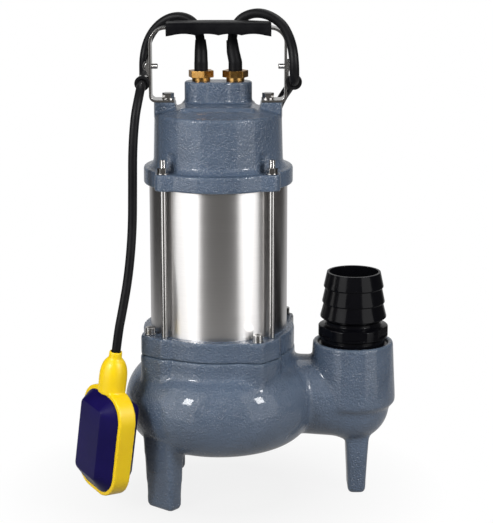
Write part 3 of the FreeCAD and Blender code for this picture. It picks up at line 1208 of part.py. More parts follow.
def float_switch():
    where = float_placement()
    half_band = S.band_thickness / 2
    half_height = S.float_height / 2
    neck_top = half_height + S.neck_length
    ring_slab = cut("band_ring", rounded_slab("band_slab", S.float_width, S.float_height, 22, -half_band, half_band),
                    rounded_slab("band_room", S.float_width - 12, S.float_height - 12, 16, -half_band - 1, half_band + 1))
    neck = turned("neck_turned", [
        (3, half_height - 2.3), (11.5, half_height - 2.3), (11.7, half_height + 10.5), (11.5, half_height + 15),
        (10.9, half_height + 19), (10, half_height + 22), (8.7, half_height + 24.7), (7, half_height + 26.8),
        (5.7, half_height + 28), (5.5, half_height + 29), (5.4, neck_top), (3, neck_top)])
    band = cut("band_part", joined("band_whole", ring_slab, neck),
               rod("neck_bore", S.float_cable / 2 + 0.04, half_height - 9, neck_top + 1))
    band.Placement = where
    node(band, "float_band")

    depth = float(S.shell_depth)
    shells = []
    for i, side in enumerate((-1, 1)):
        outer = shell_solid("shell_outer_%d" % i, side, 0, depth)
        room = shell_solid("shell_room_%d" % i, side, SHELL_WALL * 1.3, depth - SHELL_WALL)
        shell = cut("shell_%d" % i, outer, room)
        shell.Placement = where
        shells.append(shell)
    node(group("shell_pair", *shells), "float_shells")

    y = S.channel_y
    half_channel = S.ball_radius + 2.4
    reach = half_band + S.shell_depth - SHELL_WALL - 0.05
    posts = [rod_along("carrier_post_%d" % i, "x", 3, (-reach, py, pz), reach * 2)
             for i, (py, pz) in enumerate(((4, -12), (-9.5, 0.5)))]
    channel = joined("channel_whole", block("channel_block", (-half_channel, y - half_channel, -33),
                                            (half_channel, y + half_channel, 8)),
                     block("switch_shelf", (-8, -22, 0), (8, -3.4, 2.4)), *posts)
    carrier = cut("carrier_part", channel, rod("channel_bore", S.ball_radius + 0.4, -30.5, 9, 0, y),
                  block("lever_window", (-4, y - half_channel - 1, 0.4), (4, y, 9)))
    carrier.Placement = where
    node(carrier, "switch_carrier")

    switch = cut("switch_part", block("switch_block", (-3.2, -22.4, 6.4), (3.2, -3.9, 16.4)),
                 rod_along("switch_hole_a", "x", 1.2, (-4, -18.4, 11.4), 8),
                 rod_along("switch_hole_b", "x", 1.2, (-4, -7.9, 11.4), 8))
    switch.Placement = where
    node(switch, "float_microswitch")

    lever_y, lever_z = -14, 5
    hub = rod_along("lever_hub", "x", 1.1, (-2, lever_y, lever_z), 4)
    blade = block("lever_blade", (-2, lever_y, lever_z - 0.4), (2, 8, lever_z + 0.2))
    lever = joined("lever_part", hub, blade)
    lever.Placement = where
    node(lever, "switch_lever")

    rest = where.multVec(Vector(0, float(y), -30.2 + float(S.ball_radius)))
    node(ball("ball_part", S.ball_radius, *rest), "float_ball")

    entry = where.multVec(Vector(0, 0, float(neck_top)))
    inside = where.multVec(Vector(0, 0, float(half_height) - 6))
    approach = entry + FLOAT_AXIS * 13
    lower = FLOAT_ROUTE_LOWER + [tuple(approach)]
    path, radii = rounded_path(lower + [tuple(inside)])
    print("float_cable_lower: bend radii in diameters", [round(r / float(S.float_cable), 1) for r in radii])
    node(checked_tube("float_cable_lower_part", path, S.float_cable / 2), "float_cable_lower")
    print("float neck top", entry, "approach", approach, "end inside", inside)
    print("ball rest", rest, "float axis", FLOAT_AXIS, "lever pivot",
          where.multVec(Vector(0, lever_y, lever_z)), "lever axis", where.Rotation.multVec(Vector(1, 0, 0)))


for build in (volute_casing, motor_base, seal_cover, shaft_seals, base_hardware, motor, shaft_and_bearings, impeller,
              bearing_bracket, upper_cover, cover_contents, tie_rods, handle, cable_clips, hose_tail,
              glands_and_cables, power_cord, float_switch):
    build()
doc.recompute()

faults = [o.Name for o in doc.Objects if "Invalid" in o.State or "Error" in o.State]
if faults:
    raise RuntimeError("failed objects: %s" % ", ".join(faults))
for name, thing in NODES.items():
    if thing.Shape.isNull() or not thing.Shape.isValid() or not thing.Shape.Solids:
        raise RuntimeError("bad shape: " + name)

os.makedirs("parts", exist_ok=True)
for name, thing in NODES.items():
    thing.Shape.exportStep("parts/%s.step" % name)
print("%d nodes, %d solids" % (len(NODES), sum(len(t.Shape.Solids) for t in NODES.values())))
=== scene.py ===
import json
import math

import bpy
from mathutils import Matrix, Vector


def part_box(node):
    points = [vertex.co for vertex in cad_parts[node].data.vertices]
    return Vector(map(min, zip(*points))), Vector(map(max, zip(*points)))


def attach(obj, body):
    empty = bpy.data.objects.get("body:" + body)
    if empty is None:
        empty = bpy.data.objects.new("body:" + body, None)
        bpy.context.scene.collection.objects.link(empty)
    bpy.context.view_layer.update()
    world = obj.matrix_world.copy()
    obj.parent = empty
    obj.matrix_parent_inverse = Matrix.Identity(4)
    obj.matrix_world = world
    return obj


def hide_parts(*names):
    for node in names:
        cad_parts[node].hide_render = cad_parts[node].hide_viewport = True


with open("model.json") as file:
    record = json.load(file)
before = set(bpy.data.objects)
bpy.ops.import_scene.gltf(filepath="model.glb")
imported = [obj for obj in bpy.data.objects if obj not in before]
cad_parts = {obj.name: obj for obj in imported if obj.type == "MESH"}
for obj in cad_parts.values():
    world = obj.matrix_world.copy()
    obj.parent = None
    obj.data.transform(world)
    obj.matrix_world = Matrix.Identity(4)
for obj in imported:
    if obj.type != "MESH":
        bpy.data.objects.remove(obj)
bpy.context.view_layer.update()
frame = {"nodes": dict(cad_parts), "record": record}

mm = 0.001


# The camera stands 1.45 m in front of the pump and looks down on it by 13.1 degrees, with a long lens,
# so that uprights stay nearly upright and the flanges show as flat ovals.

camera_place = (0.0236, -1.4123, 0.4826)
camera_dip = math.radians(13.1)
bpy.ops.object.camera_add(location=camera_place, rotation=(math.radians(90) - camera_dip, 0, 0))
camera = bpy.context.object
camera.name = "camera"
camera.data.lens = 117.42
camera.data.clip_end = 20
bpy.context.scene.camera = camera


# The studio is a sheet of white paper that runs back into a white backdrop. A tall softbox stands at each
# side in front, with a small bright flash before it, and a weak softbox hangs behind and above. Metal sees
# the backdrop behind the pump, dark walls at the sides and a little light from the camera's side.

floor_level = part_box("volute_casing")[0].z
paper_size = (1.0, 4.4, 1)
paper_shift = (0.02, 1.8, 0)


def deselect():
    """Operators act on all that is selected, so nothing is left selected."""
    bpy.ops.object.select_all(action="DESELECT")


def finish_with(piece, paint):
    """Gives a piece one material all over."""
    piece.data.materials.clear()
    piece.data.materials.append(paint)


def light_path_sum(tree):
    """1 for camera and transmission rays, less for glossy rays, and 0 for light that falls on things."""
    rays = tree.nodes.new("ShaderNodeLightPath")
    total = rays.outputs["Is Camera Ray"]
    for label, share in (("Is Glossy Ray", 0.4), ("Is Transmission Ray", 1.0)):
        either = tree.nodes.new("ShaderNodeMath")
        either.operation = "MULTIPLY_ADD"
        either.inputs[1].default_value = share
        tree.links.new(rays.outputs[label], either.inputs[0])
        tree.links.new(total, either.inputs[2])
        total = either.outputs["Value"]
    return total


deselect()
bpy.ops.mesh.primitive_plane_add(size=1, location=(0, 0, floor_level))
floor = bpy.context.object
floor.name = "floor"
bpy.ops.object.mode_set(mode="EDIT")
bpy.ops.transform.resize(value=paper_size, center_override=(0, 0, floor_level))
bpy.ops.transform.translate(value=paper_shift)
bpy.ops.object.mode_set(mode="OBJECT")
floor_paint = bpy.data.materials.new("floor_white")
floor_paint.use_nodes = True
ground = floor_paint.node_tree
matt = ground.nodes["Principled BSDF"]
matt.inputs["Base Color"].default_value = (0.22, 0.22, 0.22, 1)
matt.inputs["Roughness"].default_value = 0.9
matt.inputs["Specular IOR Level"].default_value = 0.1
glow = ground.nodes.new("ShaderNodeEmission")
glow.inputs["Color"].default_value = (1, 1, 1, 1)
glow.inputs["Strength"].default_value = 1.0

# Round the feet the paper's own grey shows through a little, so that the pump keeps its shadow
place = ground.nodes.new("ShaderNodeTexCoord")
reach = ground.nodes.new("ShaderNodeVectorMath")
reach.operation = "LENGTH"
fade = ground.nodes.new("ShaderNodeMapRange")
fade.inputs["From Min"].default_value = 0.06
fade.inputs["From Max"].default_value = 0.2
fade.inputs["To Min"].default_value = 0.86
fade.inputs["To Max"].default_value = 1.0
shown = ground.nodes.new("ShaderNodeMath")
shown.operation = "MULTIPLY"
blend = ground.nodes.new("ShaderNodeMixShader")
ground.links.new(place.outputs["Object"], reach.inputs[0])
ground.links.new(reach.outputs["Value"], fade.inputs["Value"])
ground.links.new(fade.outputs["Result"], shown.inputs[0])
ground.links.new(light_path_sum(ground), shown.inputs[1])
ground.links.new(shown.outputs["Value"], blend.inputs["Fac"])
ground.links.new(matt.outputs["BSDF"], blend.inputs[1])
ground.links.new(glow.outputs["Emission"], blend.inputs[2])
ground.links.new(blend.outputs["Shader"], ground.nodes["Material Output"].inputs["Surface"])
finish_with(floor, floor_paint)

world = bpy.data.worlds.new("studio")
bpy.context.scene.world = world
world.use_nodes = True
sky = world.node_tree
ambient = sky.nodes["Background"]
ambient.inputs["Color"].default_value = (1, 1, 1, 1)
ambient.inputs["Strength"].default_value = 0.15
backdrop = sky.nodes.new("ShaderNodeBackground")
backdrop.inputs["Color"].default_value = (1, 1, 1, 1)
backdrop.inputs["Strength"].default_value = 1.0

# What metal sees runs from the camera's side (0) past the side walls to the backdrop (1)
room = sky.nodes.new("ShaderNodeBackground")
heading = sky.nodes.new("ShaderNodeTexCoord")
split = sky.nodes.new("ShaderNodeSeparateXYZ")
depth = sky.nodes.new("ShaderNodeMapRange")
depth.inputs["From Min"].default_value = -1
walls = sky.nodes.new("ShaderNodeValToRGB")
stops = walls.color_ramp.elements
stops[0].position = 0.0
stops[0].color = (0.12, 0.116, 0.112, 1)
stops[1].position = 1.0
stops[1].color = (0.6, 0.6, 0.6, 1)
wall_edges = (0.14, 0.86)
for position in wall_edges:
    stops.new(position).color = (0.04, 0.039, 0.038, 1)
sky.links.new(heading.outputs["Generated"], split.inputs["Vector"])
sky.links.new(split.outputs["Y"], depth.inputs["Value"])
sky.links.new(depth.outputs["Result"], walls.inputs["Fac"])
sky.links.new(walls.outputs["Color"], room.inputs["Color"])
rays = sky.nodes.new("ShaderNodeLightPath")
in_metal = sky.nodes.new("ShaderNodeMixShader")
seen = sky.nodes.new("ShaderNodeMixShader")
sky.links.new(rays.outputs["Is Glossy Ray"], in_metal.inputs["Fac"])
sky.links.new(ambient.outputs["Background"], in_metal.inputs[1])
sky.links.new(room.outputs["Background"], in_metal.inputs[2])
sky.links.new(rays.outputs["Is Camera Ray"], seen.inputs["Fac"])
sky.links.new(in_metal.outputs["Shader"], seen.inputs[1])
sky.links.new(backdrop.outputs["Background"], seen.inputs[2])
sky.links.new(seen.outputs["Shader"], sky.nodes["World Output"].inputs["Surface"])


pump_middle = Vector((0.02, 0, 0.17))


def lamp(name, azimuth, elevation, distance, width, height, power):
    """An area lamp turned to the middle of the pump; azimuth 0 is the camera's side."""
    a = math.radians(azimuth)
    e = math.radians(elevation)
    away = Vector((math.sin(a) * math.cos(e), -math.cos(a) * math.cos(e), math.sin(e)))
    turn = away.to_track_quat("Z", "Y").to_euler()
    bpy.ops.object.light_add(type="AREA", location=pump_middle + away * distance, rotation=turn)
    made = bpy.context.object
    made.name = name
    made.data.shape = "RECTANGLE"
    made.data.size = width
    made.data.size_y = height
    made.data.energy = power


# Degrees round and up, metres of distance, width and height, and watts
lamp("left_softbox", -53.5, 18, 1.5, 1.36, 2.1, 16)
lamp("right_softbox", 51, 18, 1.5, 1.05, 2.1, 11.5)
lamp("left_flash", -43, 27, 1.45, 0.26, 0.36, 10)
lamp("right_flash", 51, 27, 1.45, 0.24, 0.36, 8.5)
lamp("top_softbox", 170, 62, 1.7, 1.2, 0.8, 9)


# Volute casing and motor base: sand-cast grey iron under thick slate-blue enamel, which keeps the
# sand's pebbles and swells, breaks every highlight into specks, and is a little paler on the edges.

def only(piece):
    """Selects one piece alone and makes it the active one."""
    deselect()
    piece.select_set(True)
    bpy.context.view_layer.objects.active = piece


def apply_modifiers(piece):
    only(piece)
    for modifier in list(piece.modifiers):
        bpy.ops.object.modifier_apply(modifier=modifier.name)


weld_distance = 1e-6


def copy_node(node, name):
    """A new piece with a CAD node's mesh, its loose triangles merged."""
    piece = bpy.data.objects.new(name, frame["nodes"][node].data.copy())
    bpy.context.scene.collection.objects.link(piece)
    only(piece)
    bpy.ops.mesh.customdata_custom_splitnormals_clear()
    bpy.ops.object.mode_set(mode="EDIT")
    bpy.ops.mesh.select_all(action="SELECT")
    bpy.ops.mesh.remove_doubles(threshold=weld_distance)
    bpy.ops.object.mode_set(mode="OBJECT")
    return piece


def stand_for(piece, body, slot, *nodes):
    """Rides on its body and takes the place of the CAD nodes; slot is not used."""
    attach(piece, body)
    if nodes:
        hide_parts(*nodes)


def cast_piece(node, name, grain, rounds, softer=None, soft_rounds=0):
    """The node as a casting: remeshed at the grain's size, then smoothed, more so where softer says."""
    piece = copy_node(node, name)
    remesh = piece.modifiers.new("sand", "REMESH")
    remesh.mode = "VOXEL"
    remesh.voxel_size = grain
    apply_modifiers(piece)
    if softer:
        region = piece.vertex_groups.new(name="fillets")
        region.add([v.index for v in piece.data.vertices if softer(v.co / mm)], 1.0, "REPLACE")
        fillet = piece.modifiers.new("fillet", "SMOOTH")
        fillet.factor = 0.5
        fillet.iterations = soft_rounds
        fillet.vertex_group = "fillets"
    soften = piece.modifiers.new("fettle", "SMOOTH")
    soften.factor = 0.5
    soften.iterations = rounds
    apply_modifiers(piece)
    bpy.ops.object.shade_smooth()
    return piece


def effect(name, inputs, outputs):
    """An empty shader group with named sockets, its inputs and its outputs."""
    tree = bpy.data.node_groups.new(name, "ShaderNodeTree")
    for label, kind, value in inputs:
        socket = tree.interface.new_socket(name=label, in_out="INPUT", socket_type=kind)
        socket.default_value = value
    for label, kind in outputs:
        tree.interface.new_socket(name=label, in_out="OUTPUT", socket_type=kind)
    return tree, tree.nodes.new("NodeGroupInput").outputs, tree.nodes.new("NodeGroupOutput").inputs


def field(tree, scale, detail, vector=None):
    """A noise between 0 and 1 on Object coordinates; the scale is a number or a socket."""
    texture = tree.nodes.new("ShaderNodeTexNoise")
    texture.inputs["Detail"].default_value = detail
    texture.inputs["Roughness"].default_value = 0.55
    if vector is None:
        vector = tree.nodes.new("ShaderNodeTexCoord").outputs["Object"]
    tree.links.new(vector, texture.inputs["Vector"])
    if isinstance(scale, (int, float)):
        texture.inputs["Scale"].default_value = scale
    else:
        tree.links.new(scale, texture.inputs["Scale"])
    return texture.outputs["Fac"]


def calculate(tree, operation, a, b):
    """A Math node; a and b are sockets or numbers."""
    node = tree.nodes.new("ShaderNodeMath")
    node.operation = operation
    for socket, value in zip(node.inputs, (a, b)):
        if isinstance(value, (int, float)):
            socket.default_value = value
        else:
            tree.links.new(value, socket)
    return node.outputs["Value"]


def spread(tree, value, low, high, to_low, to_high):
    """A Map Range node from fixed limits to sockets or numbers."""
    node = tree.nodes.new("ShaderNodeMapRange")
    tree.links.new(value, node.inputs["Value"])
    node.inputs["From Min"].default_value = low
    node.inputs["From Max"].default_value = high
    for label, limit in (("To Min", to_low), ("To Max", to_high)):
        if isinstance(limit, (int, float)):
            node.inputs[label].default_value = limit
        else:
            tree.links.new(limit, node.inputs[label])
    return node.outputs["Result"]


def mixed(tree, share, first, second):
    """A colour between two colours, which are sockets or plain colours."""
    node = tree.nodes.new("ShaderNodeMix")
    node.data_type = "RGBA"
    tree.links.new(share, node.inputs[0])
    # Inputs 6 and 7 and output 2 are the ones that hold colours
    for socket, colour in ((node.inputs[6], first), (node.inputs[7], second)):
        if isinstance(colour, tuple):
            socket.default_value = (*colour, 1)
        else:
            tree.links.new(colour, socket)
    return node.outputs[2]


# Most of a noise lies between these two values
noise_low = 0.35
noise_high = 0.65

# Colour that drifts slowly between two tones
tone_drift, given, out = effect("tone_drift", [
    ("Deep", "NodeSocketColor", (0.1, 0.1, 0.1, 1)), ("Pale", "NodeSocketColor", (0.2, 0.2, 0.2, 1)),
    ("Scale", "NodeSocketFloat", 20)], [("Color", "NodeSocketColor")])
share = spread(tone_drift, field(tone_drift, given["Scale"], 3), noise_low, noise_high, 0, 1)
tone_drift.links.new(mixed(tone_drift, share, given["Deep"], given["Pale"]), out["Color"])

# Roughness that drifts between two values, with finer wear over it
gloss_drift, given, out = effect("gloss_drift", [
    ("Low", "NodeSocketFloat", 0.3), ("High", "NodeSocketFloat", 0.4), ("Scale", "NodeSocketFloat", 60)],
    [("Roughness", "NodeSocketFloat")])
finer = calculate(gloss_drift, "MULTIPLY", given["Scale"], 7)
broad_share = calculate(gloss_drift, "MULTIPLY", field(gloss_drift, given["Scale"], 2), 0.6)
fine_share = calculate(gloss_drift, "MULTIPLY", field(gloss_drift, finer, 2), 0.4)
both = calculate(gloss_drift, "ADD", broad_share, fine_share)
drifting = spread(gloss_drift, both, noise_low, noise_high, given["Low"], given["High"])
gloss_drift.links.new(drifting, out["Roughness"])

# Heights in metres of a moulded or cast skin: fine grain on slow swells
skin_relief, given, out = effect("skin_relief", [
    ("Grain Scale", "NodeSocketFloat", 800), ("Grain Depth", "NodeSocketFloat", 0.0001),
    ("Swell Scale", "NodeSocketFloat", 150), ("Swell Depth", "NodeSocketFloat", 0.0)],
    [("Height", "NodeSocketFloat")])
grain_field = field(skin_relief, given["Grain Scale"], 2)
swell_field = field(skin_relief, given["Swell Scale"], 1)
grain = calculate(skin_relief, "MULTIPLY", grain_field, given["Grain Depth"])
swell = calculate(skin_relief, "MULTIPLY", swell_field, given["Swell Depth"])
skin_relief.links.new(calculate(skin_relief, "ADD", grain, swell), out["Height"])

# Where edges stand out, for enamel that has run thin and metal that has been rubbed
edge_wear, given, out = effect("edge_wear", [
    ("Start", "NodeSocketFloat", 0.53), ("Full", "NodeSocketFloat", 0.6)], [("Mask", "NodeSocketFloat")])
sharpness = edge_wear.nodes.new("ShaderNodeNewGeometry").outputs["Pointiness"]
band = edge_wear.nodes.new("ShaderNodeMapRange")
edge_wear.links.new(sharpness, band.inputs["Value"])
edge_wear.links.new(given["Start"], band.inputs["From Min"])
edge_wear.links.new(given["Full"], band.inputs["From Max"])
patches = field(edge_wear, 260, 3)
edge_wear.links.new(calculate(edge_wear, "MULTIPLY", band.outputs["Result"], patches), out["Mask"])

# Fine straight lines of a brushed or drawn metal: Around and Up are lines per metre along each way
brush_lines, given, out = effect("brush_lines", [
    ("Around", "NodeSocketFloat", 6), ("Up", "NodeSocketFloat", 1500),
    ("Depth", "NodeSocketFloat", 0.00002)],
    [("Value", "NodeSocketFloat"), ("Height", "NodeSocketFloat")])
sizes = brush_lines.nodes.new("ShaderNodeCombineXYZ")
for label, source in (("X", "Around"), ("Y", "Around"), ("Z", "Up")):
    brush_lines.links.new(given[source], sizes.inputs[label])
stretch = brush_lines.nodes.new("ShaderNodeVectorMath")
stretch.operation = "MULTIPLY"
brush_lines.links.new(brush_lines.nodes.new("ShaderNodeTexCoord").outputs["Object"], stretch.inputs[0])
brush_lines.links.new(sizes.outputs["Vector"], stretch.inputs[1])
lines = field(brush_lines, 1, 3, stretch.outputs["Vector"])
brush_lines.links.new(lines, out["Value"])
brush_lines.links.new(calculate(brush_lines, "MULTIPLY", lines, given["Depth"]), out["Height"])


def placed(tree, group, **values):
    """One use of an effect in a material, with its own values; _ in a name stands for a blank."""
    node = tree.nodes.new("ShaderNodeGroup")
    node.node_tree = group
    for label, value in values.items():
        given = (*value, 1) if isinstance(value, tuple) else value
        node.inputs[label.replace("_", " ")].default_value = given
    return node.outputs


def start_material(name, colour, metallic=0.0):
    """A new material, its tree and its Principled shader."""
    paint = bpy.data.materials.new(name)
    paint.use_nodes = True
    paint.diffuse_color = (*colour, 1)
    shader = paint.node_tree.nodes["Principled BSDF"]
    shader.inputs["Metallic"].default_value = metallic
    return paint, paint.node_tree, shader


def raise_surface(tree, shader, height):
    """Bump from a height in metres."""
    bump = tree.nodes.new("ShaderNodeBump")
    bump.inputs["Distance"].default_value = 1.0
    bump.inputs["Strength"].default_value = 1.0
    tree.links.new(height, bump.inputs["Height"])
    tree.links.new(bump.outputs["Normal"], shader.inputs["Normal"])


enamel, tree, shader = start_material("slate_enamel", (0.080, 0.118, 0.155))
tone = placed(tree, tone_drift, Deep=(0.059, 0.085, 0.130), Pale=(0.076, 0.108, 0.163), Scale=24)["Color"]
worn = placed(tree, edge_wear, Start=0.52, Full=0.58)["Mask"]
tree.links.new(mixed(tree, worn, tone, (0.125, 0.165, 0.20)), shader.inputs["Base Color"])
gloss = placed(tree, gloss_drift, Low=0.15, High=0.28, Scale=90)["Roughness"]
tree.links.new(gloss, shader.inputs["Roughness"])
relief = placed(tree, skin_relief, Grain_Scale=620, Grain_Depth=0.0014, Swell_Scale=170,
                Swell_Depth=0.0006)
raise_surface(tree, shader, relief["Height"])
shader.inputs["Coat Weight"].default_value = 0.5
shader.inputs["Coat Roughness"].default_value = 0.06


def neck_and_scroll(p):
    """The casting between its machined faces, where cores and lugs run into each other."""
    from_axis = math.hypot(p.x, p.y)
    outlet_boss = p.x > 75 and p.z > 70
    return from_axis > 58 and -40 < p.z < 76 and not outlet_boss


casing = cast_piece("volute_casing", "volute_casting", grain=0.0014, rounds=5,
                    softer=neck_and_scroll, soft_rounds=26)
finish_with(casing, enamel)
stand_for(casing, "root", "casing_enamel", "volute_casing")

base = cast_piece("motor_base", "base_casting", grain=0.0011, rounds=4)
finish_with(base, enamel)
stand_for(base, "root", "casing_enamel", "motor_base")


# Upper cover: the same iron and enamel, with the cable box, the raised pad and the two bosses of the
# handle cast on.

def cover_joins(p):
    """The lower half of the cover's wall, from its flange up, and the rim of the raised pad."""
    wall = 236 < p.z < 262
    pad_rim = 284 < p.z < 289
    return wall or pad_rim


cover = cast_piece("upper_cover", "cover_casting", grain=0.0010, rounds=3,
                   softer=cover_joins, soft_rounds=10)
finish_with(cover, enamel)
stand_for(cover, "root", "casing_enamel", "upper_cover")


# Motor tube: thin stainless sheet, rolled and then brushed round and round, so that lamps show in it as
# upright bands. The tie rods clamp it between the motor base and the cover.

tube_steel, tree, shader = start_material("brushed_tube", (0.62, 0.60, 0.58), 1.0)
lines = placed(tree, brush_lines, Around=14.0, Up=1500.0, Depth=0.0000016)
steel = mixed(tree, lines["Value"], (0.70, 0.685, 0.675), (0.79, 0.775, 0.765))
tree.links.new(steel, shader.inputs["Base Color"])
smoothest = 0.29
roughest = 0.33
tree.links.new(spread(tree, lines["Value"], 0.3, 0.7, smoothest, roughest), shader.inputs["Roughness"])
raise_surface(tree, shader, lines["Height"])
shader.inputs["Anisotropic"].default_value = 0.8
shader.inputs["Anisotropic Rotation"].default_value = 0.25
around = tree.nodes.new("ShaderNodeTangent")
around.direction_type = "RADIAL"
around.axis = "Z"
tree.links.new(around.outputs["Tangent"], shader.inputs["Tangent"])

rim_angle = math.radians(35)
tube = copy_node("motor_tube", "motor_tube_sheet")
bpy.ops.object.shade_smooth_by_angle(angle=rim_angle)
finish_with(tube, tube_steel)
stand_for(tube, "root", "brushed_tube", "motor_tube")


# Finishes of the hardware: bright stainless steel, moulded rubber and plastics, turned brass, and the
# metals inside the motor. Each has its own drift of tone and gloss and its own grain.

def finish(name, deep, pale, drift, low, high, grain, depth, metallic=0.0):
    """A material from the effects: tone and gloss that drift, and a grain with a depth in metres."""
    paint, tree, shader = start_material(name, pale, metallic)
    tone = placed(tree, tone_drift, Deep=deep, Pale=pale, Scale=float(drift))["Color"]
    tree.links.new(tone, shader.inputs["Base Color"])
    gloss = placed(tree, gloss_drift, Low=low, High=high, Scale=float(drift) * 2)["Roughness"]
    tree.links.new(gloss, shader.inputs["Roughness"])
    relief = placed(tree, skin_relief, Grain_Scale=float(grain), Grain_Depth=depth,
                    Swell_Scale=float(drift) * 3, Swell_Depth=depth * 2)
    raise_surface(tree, shader, relief["Height"])
    return paint, shader


finishes = {"casing_enamel": enamel, "brushed_tube": tube_steel}
shaders = {}

# Deep and pale tone, drift per metre, lowest and highest roughness, grain per metre, its depth, metallic
for name, deep, pale, *rest in (
    ("bright_steel", (0.50, 0.49, 0.48), (0.58, 0.57, 0.56), 40, 0.13, 0.22, 1500, 0.00001, 1.0),
    ("black_rubber", (0.005, 0.005, 0.006), (0.009, 0.009, 0.010), 50, 0.42, 0.56, 1600, 0.00003),
    ("cable_rubber", (0.005, 0.005, 0.006), (0.010, 0.010, 0.011), 30, 0.34, 0.46, 1200, 0.00003),
    ("black_plastic", (0.003, 0.003, 0.004), (0.007, 0.007, 0.008), 40, 0.34, 0.48, 1300, 0.00005),
    ("tail_plastic", (0.002, 0.002, 0.003), (0.004, 0.004, 0.005), 25, 0.12, 0.20, 700, 0.00001),
    ("gland_brass", (0.44, 0.23, 0.06), (0.56, 0.33, 0.11), 120, 0.22, 0.36, 1500, 0.00002, 1.0),
    ("float_yellow", (0.80, 0.53, 0.0), (0.86, 0.60, 0.001), 18, 0.30, 0.42, 900, 0.00003),
    ("float_navy", (0.004, 0.002, 0.046), (0.007, 0.004, 0.066), 16, 0.28, 0.38, 900, 0.00003),
    ("lamination_steel", (0.12, 0.12, 0.13), (0.20, 0.20, 0.21), 80, 0.40, 0.55, 900, 0.00004, 1.0),
    ("winding_copper", (0.36, 0.10, 0.03), (0.52, 0.18, 0.07), 140, 0.25, 0.45, 800, 0.00025, 0.6),
    ("cage_aluminium", (0.50, 0.50, 0.52), (0.66, 0.66, 0.68), 60, 0.35, 0.5, 900, 0.00005, 1.0),
    ("impeller_iron", (0.06, 0.062, 0.066), (0.11, 0.112, 0.118), 60, 0.5, 0.7, 700, 0.0002, 0.4),
    ("capacitor_shell", (0.62, 0.62, 0.60), (0.72, 0.72, 0.70), 25, 0.38, 0.5, 1000, 0.00003),
    ("seal_ceramic", (0.74, 0.71, 0.64), (0.82, 0.79, 0.72), 60, 0.14, 0.24, 1500, 0.00001),
):
    finishes[name], shaders[name] = finish(name, deep, pale, *rest)

# The dark rubber and plastics mirror little of the softboxes, and light goes a little way into the yellow
for name in ("cable_rubber", "black_rubber", "black_plastic", "float_navy"):
    shaders[name].inputs["Specular IOR Level"].default_value = 0.12
shaders["tail_plastic"].inputs["Specular IOR Level"].default_value = 0.16
shaders["float_yellow"].inputs["Subsurface Weight"].default_value = 0.08
shaders["float_yellow"].inputs["Subsurface Radius"].default_value = (0.004, 0.003, 0.001)

slot_of = {part["node"]: part["material_slot"] for part in frame["record"]["subparts"]}
for node, slot in slot_of.items():
    finish_with(frame["nodes"][node], finishes[slot])


# Bought and turned hardware: socket screws, nuts, washers, glands, clips, bolts and the plug. None of
# it has a knife edge, so each copy gets its edges broken by a few tenths of a millimetre.

flat_angle = math.radians(0.5)
smooth_angle = math.radians(50)


def eased(node, name, body, width, segments, angle=30):
    """The node's shape with its sharp edges rounded, standing for it."""
    piece = copy_node(node, name)
    bpy.ops.object.mode_set(mode="EDIT")
    bpy.ops.mesh.select_all(action="SELECT")
    bpy.ops.mesh.dissolve_limited(angle_limit=flat_angle)
    bpy.ops.object.mode_set(mode="OBJECT")
    broken = piece.modifiers.new("broken_edges", "BEVEL")
    broken.width = width * mm
    broken.segments = segments
    broken.limit_method = "ANGLE"
    broken.angle_limit = math.radians(angle)
    apply_modifiers(piece)
    bpy.ops.object.shade_smooth_by_angle(angle=smooth_angle)
    piece.modifiers.new("flat_faces", "WEIGHTED_NORMAL").keep_sharp = True
    apply_modifiers(piece)
    finish_with(piece, finishes[slot_of[node]])
    stand_for(piece, body, slot_of[node], node)


for node, name, width, segments in (
    ("flange_screws", "socket_screws", 0.35, 2),
    ("flange_washers", "plain_washers", 0.2, 2),
    ("tie_rod_nuts", "rod_nuts", 0.4, 2),
    ("oil_plug", "oil_filler_plug", 0.35, 2),
    ("handle_bolts", "strap_bolts", 0.5, 2),
    ("handle_strip", "strap_handle", 0.35, 2),
    ("cable_clips", "clip_bands", 0.2, 2),
    ("clip_linings", "clip_rubbers", 0.3, 2),
    ("clip_screws", "clip_bolts", 0.2, 2),
    ("cable_glands", "gland_bodies", 0.3, 2),
    ("gland_nuts", "gland_hexagons", 0.7, 3),
    ("cable_sleeves", "gland_sleeves", 0.4, 2),
    ("handle_grip", "strap_grip", 0.8, 3),
    ("power_plug", "mains_plug", 0.4, 2),
    ("plug_pins", "mains_pins", 0.5, 3),
    ("coil_ties", "cable_ties", 0.3, 2),
):
    eased(node, name, "root", width, segments)


# Threads: the tops of the four tie rods stand out of their nuts, and the two clip screws out of the
# strap on its inner side. Both are rolled steel threads with a bevelled end.

def thread(name, crest, valley, pitch, turns):
    """Ridges one above the other from the origin up, with a bevelled end, about the upright axis."""
    deselect()
    ridge = ((crest, 0.35), (crest, 0.55), (valley, 0.95))
    end_taper = 0.86
    sections = [(valley, 0)]
    for k in range(turns):
        sections += [(wide, (k + up) * pitch) for wide, up in ridge]
    sections.append((valley * end_taper, (turns + 0.25) * pitch))
    radius, height = sections[0]
    bpy.ops.mesh.primitive_circle_add(vertices=20, radius=radius * mm, fill_type="NGON")
    piece = bpy.context.object
    piece.name = name
    bpy.ops.object.mode_set(mode="EDIT")
    bpy.ops.mesh.select_all(action="SELECT")
    for next_radius, next_height in sections[1:]:
        step = (next_height - height) * mm
        bpy.ops.mesh.extrude_region_move(TRANSFORM_OT_translate={"value": (0, 0, step)})
        grow = next_radius / radius
        bpy.ops.transform.resize(value=(grow, grow, 1), center_override=(0, 0, next_height * mm))
        radius, height = next_radius, next_height
    bpy.ops.mesh.select_all(action="SELECT")
    bpy.ops.mesh.normals_make_consistent(inside=False)
    bpy.ops.object.mode_set(mode="OBJECT")
    bpy.ops.object.shade_smooth_by_angle(angle=smooth_angle)
    return piece


